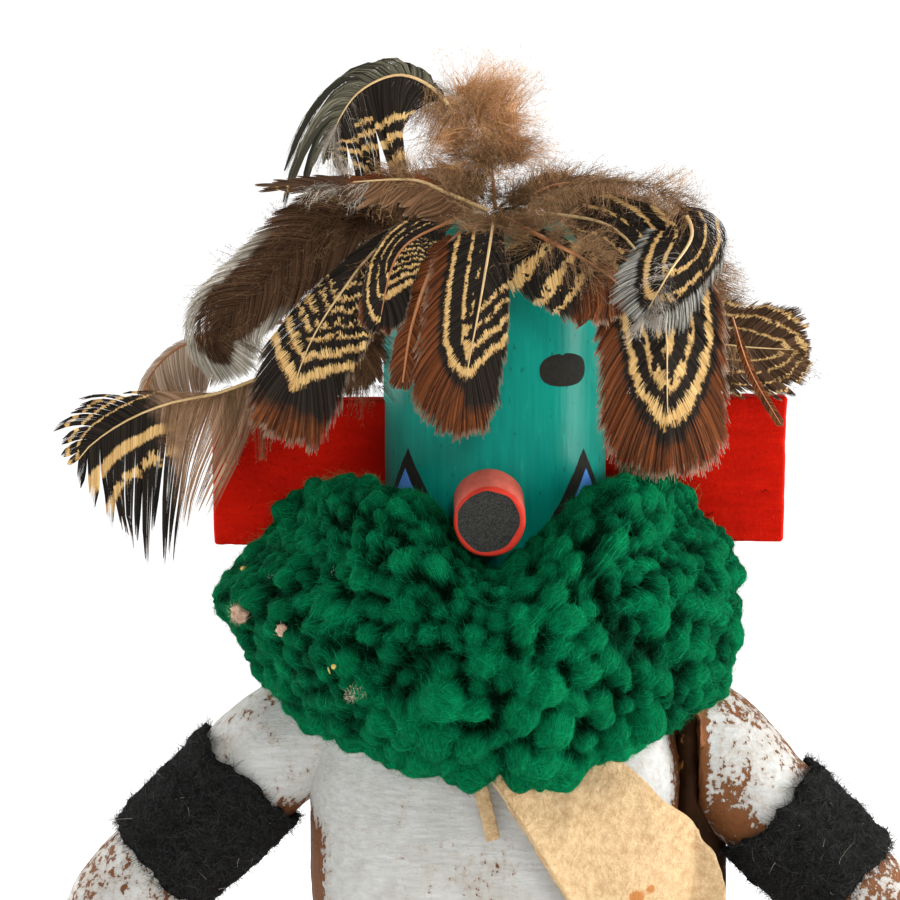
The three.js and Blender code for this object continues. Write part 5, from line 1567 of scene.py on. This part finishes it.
def add_down(parts, rng, path, lo, hi, count, length, mat, sag, lean=(0, 0, 0), wide=0.0, flat=0.75, knots=3,
             draw=0.25, fold=0.0, ahead=(0.1, 1.2), curl=0.30, thick=0.13):
    """Soft strands with fine side hairs, held together in clumps, with wide between their roots."""
    clumps = max(4, count // 22)
    group = rng.integers(0, clumps, count)
    s = np.clip(rng.uniform(lo, hi, clumps)[group] + rng.normal(size=count) * 0.03, lo, hi)
    p, t, u, l = path.at(s)
    off = wide * rng.uniform(-1, 1, clumps)[group] + wide * 0.2 * rng.normal(size=count)
    fold = math.radians(fold)
    p = p + l * (off * math.cos(fold))[:, None] - u * (np.abs(off) * math.sin(fold))[:, None]
    side_way = rng.normal(size=(clumps, 1))[group] * 1.1
    if wide:
        side_way = side_way * 0.5 + (off / wide)[:, None]
    rise = (rng.normal(size=(clumps, 1)) * flat)[group]
    go = rng.uniform(*ahead, (clumps, 1))[group]
    d = unit(l * side_way + u * rise + t * go + np.asarray(lean, float) + 0.25 * rng.normal(size=(count, 3)))
    size = length * (rng.uniform(0.6, 1.1, clumps)[group]) * rng.uniform(0.6, 1.1, count)
    m = 5
    v = np.linspace(0, 1, m)
    bend = unit(np.cross(d, unit(rng.normal(size=(clumps, 3)))[group] + 0.4 * rng.normal(size=(count, 3))))
    swing, pace, start = (rng.uniform(a, b, (count, 1)) for a, b in ((0.2, 0.7), (4, 8), (0, 6)))
    sway = swing * np.sin(pace * v + start) * v
    line = p[:, None] + (size[:, None] * v)[..., None] * d[:, None] + sway[..., None] * bend[:, None]
    hook = (rng.normal(size=clumps) * curl)[group][:, None] * size[:, None] * v**2
    line = line + hook[..., None] * bend[:, None]
    line[..., 2] -= sag * size[:, None] * v**2
    for c in range(clumps):
        mine = group == c
        if mine.sum() > 1:
            line[mine] += (line[mine].mean(0) - line[mine]) * (draw * v**1.5)[:, None]
    tone = np.clip(rng.uniform(0, 1, clumps)[group] * 0.5 + rng.uniform(0, 0.5, count), 0, 1)
    side = unit(np.cross(unit(np.gradient(line, axis=1)), bend[:, None]))
    verts, faces = ribbons(line, side, thick * (1 - 0.75 * v) * np.ones((count, 1)))
    parts.add(verts, faces, mat, tone=np.repeat(tone, m * 2))
    at = np.linspace(0.08, 0.98, knots)
    i = np.minimum((at * (m - 1)).astype(int), m - 2)
    f = (at * (m - 1) - i)[None, :, None]
    root = line[:, i] * (1 - f) + line[:, i + 1] * f
    onward = unit(line[:, i + 1] - line[:, i])
    for sign in (-1, 1):
        way = unit(onward * 1.5 + sign * side[:, i] + 0.40 * rng.normal(size=root.shape))
        tip = root + way * (rng.uniform(0.9, 3.0, (count, knots)) * (1.1 - 0.5 * at))[..., None]
        half = 0.04 * unit(np.cross(tip - root, bend[:, None]))
        verts = np.stack([root - half, root + half, tip], 2)
        faces = np.arange(count * knots * 3).reshape(-1, 3)
        parts.add(verts, faces, mat, tone=np.clip(np.repeat(tone, knots * 3) + 0.12, 0, 1))


def make_feather(name, number, quill, width, facing, fold, pattern, down, split=0.5, droop=(0, 0),
                 shaft="pale", end=None, blunt=2.6, fluff="brown", sag=0.2, shaft_r=0.5, start=0.08,
                 density=6.0, base=0.55, more=None, shaft_start=0.0, shaft_end=None, grow=None, locks=None,
                 pull=None, uneven=0.06, sparse=0.0):
    """One feather, with its quill given from the middle of the crown.

    width, droop and grow list the side across the path's minus direction first. start and end are where
    the vane lies along the quill, blunt squares its tip and base is its width at the root. fold turns both
    sides back, in degrees. split parts the barbs into clumps, locks is the range of barbs in a clump, and
    pull is how hard and how late they draw together. down lists (from, to, count, length) runs of soft
    strands, with their own material if named, and more is passed on to them.
    """
    rng = np.random.default_rng(900 + number)
    pts = np.array(quill, float) + [0, 0, CROWN_Z]
    path = Path(pts, facing, n=160)
    parts = Parts("s", "t", "v", "tone")
    if pattern:
        end = end or 1 - min(0.3, 0.42 * (width[0] + width[1]) / path.length)
        add_vane(parts, rng, path, width, fold, split, droop, start, end, density, blunt, base, grow, locks,
                 pull, uneven, sparse)
    else:
        end = end or 0.96
    r = shaft_r * np.interp(np.linspace(0, 1, 20), [0, 0.15, 1], [1.0, 0.85, 0.22])
    s = np.linspace(shaft_start, shaft_end or min(1, end + 0.02), 20)
    q = tube(path, r, 6, s=s, squash=0.8) + path.at(s)[2][:, None] * 0.22
    parts.add(q, grid(20, 6, loop_cols=True), 1, s=0.5, tone=0.5)
    mats = [VANES[pattern or "soft"], SHAFT_PALE if shaft == "pale" else SHAFT_RUST]
    for lo, hi, count, length, *own in down or ():
        soft = SOFT[own[0] if own else fluff]
        if soft not in mats:
            mats.append(soft)
        add_down(parts, rng, path, lo, hi, count, length, mats.index(soft), sag, **(more or {}))
    parts.build(f"feather_{name}_barbs", mats, "feather", replaces=(f"feather_{name}",))


# ---------------------------------------------------------------- studio

def make_studio():
    """The world, lights, floor and camera."""
    scene = bpy.context.scene
    scene.view_settings.view_transform = "Standard"
    world = bpy.data.worlds.new("studio")
    scene.world = world
    world.use_nodes = True
    tree = world.node_tree
    back = tree.nodes["Background"]
    back.inputs["Color"].default_value = (1, 1, 1, 1)
    seen = tree.nodes.new("ShaderNodeLightPath")
    pick = tree.nodes.new("ShaderNodeMapRange")
    pick.inputs["To Min"].default_value = 0.26
    pick.inputs["To Max"].default_value = 1.05
    tree.links.new(seen.outputs["Is Camera Ray"], pick.inputs["Value"])
    tree.links.new(pick.outputs["Result"], back.inputs["Strength"])

    def light(name, place, size, power):
        """A round area light turned towards the mask and ruff."""
        data = bpy.data.lights.new(name, "AREA")
        data.shape, data.size, data.energy = "DISK", size, power
        obj = bpy.data.objects.new(name, data)
        scene.collection.objects.link(obj)
        obj.location = place
        obj.rotation_euler = (Vector((0, 0, 0.26)) - Vector(place)).to_track_quat("-Z", "Y").to_euler()

    light("key", (0.35, -1.00, 1.00), 0.50, 6.2)
    light("fill", (-0.90, -0.90, 0.60), 0.80, 3.4)
    light("side_right", (1.06, -0.12, 0.42), 0.62, 18.0)
    light("side_left", (-1.02, 0.42, 0.45), 0.60, 12.0)
    light("top", (0.0, 0.30, 1.25), 0.60, 4.0)

    mesh = bpy.data.meshes.new("floor")
    sides, floor_z = 96, -0.0002
    rings = [0.2, 0.4, 0.6, 0.8, 1.2, 2.0, 3.2]
    pts = [(r * math.cos(a), r * math.sin(a), floor_z) for r in rings for a in around(sides)]
    pts.append((0, 0, floor_z))
    faces = [(len(pts) - 1, i, (i + 1) % sides) for i in range(sides)]
    mesh.from_pydata(pts, [], faces + grid(len(rings), sides, loop_cols=True)[:, ::-1].tolist())
    floor = bpy.data.objects.new("floor", mesh)
    scene.collection.objects.link(floor)
    s = Shade("floor", roughness=0.9, specular=0.0)
    x, y, _ = s.xyz()
    away = s.hypot(x, y)
    # The sweep turns to pure white away from the part, where its soft shadow has ended.
    s.bsdf.inputs["Base Color"].default_value = (0.90, 0.90, 0.90, 1)
    s.bsdf.inputs["Emission Color"].default_value = (1, 1, 1, 1)
    glow = s.ramp(away, 0.10, 0.60, 0.20, 0.86)
    s.tree.links.new(glow, s.bsdf.inputs["Emission Strength"])
    mesh.materials.append(s.mat)

    # The frame is so many mm wide at the figure.
    frame_wide = 211.5
    cam_data = bpy.data.cameras.new("camera")
    cam = bpy.data.objects.new("camera", cam_data)
    scene.collection.objects.link(cam)
    cam_data.sensor_width = 36.0
    cam_data.lens = cam_data.sensor_width * CAMERA_FAR / frame_wide
    cam_data.clip_start, cam_data.clip_end = 0.05, 20
    aim = Vector((-0.01057, 0.0, 0.27025))
    tilt = math.radians(6)
    cam.location = aim + CAMERA_FAR * MM * Vector((0, -math.cos(tilt), math.sin(tilt)))
    cam.rotation_euler = (math.pi / 2 - tilt, 0, 0)
    scene.camera = cam


make_studio()
make_body()
for which in (-1, 1):
    make_arm(which)
    make_ear(which)
    make_band(which)
make_snout()
make_plinth()
make_panel()
make_lace()
make_kilt()
make_ruff()
for i, (key, spec) in enumerate(FEATHERS.items()):
    make_feather(key, i, **spec)
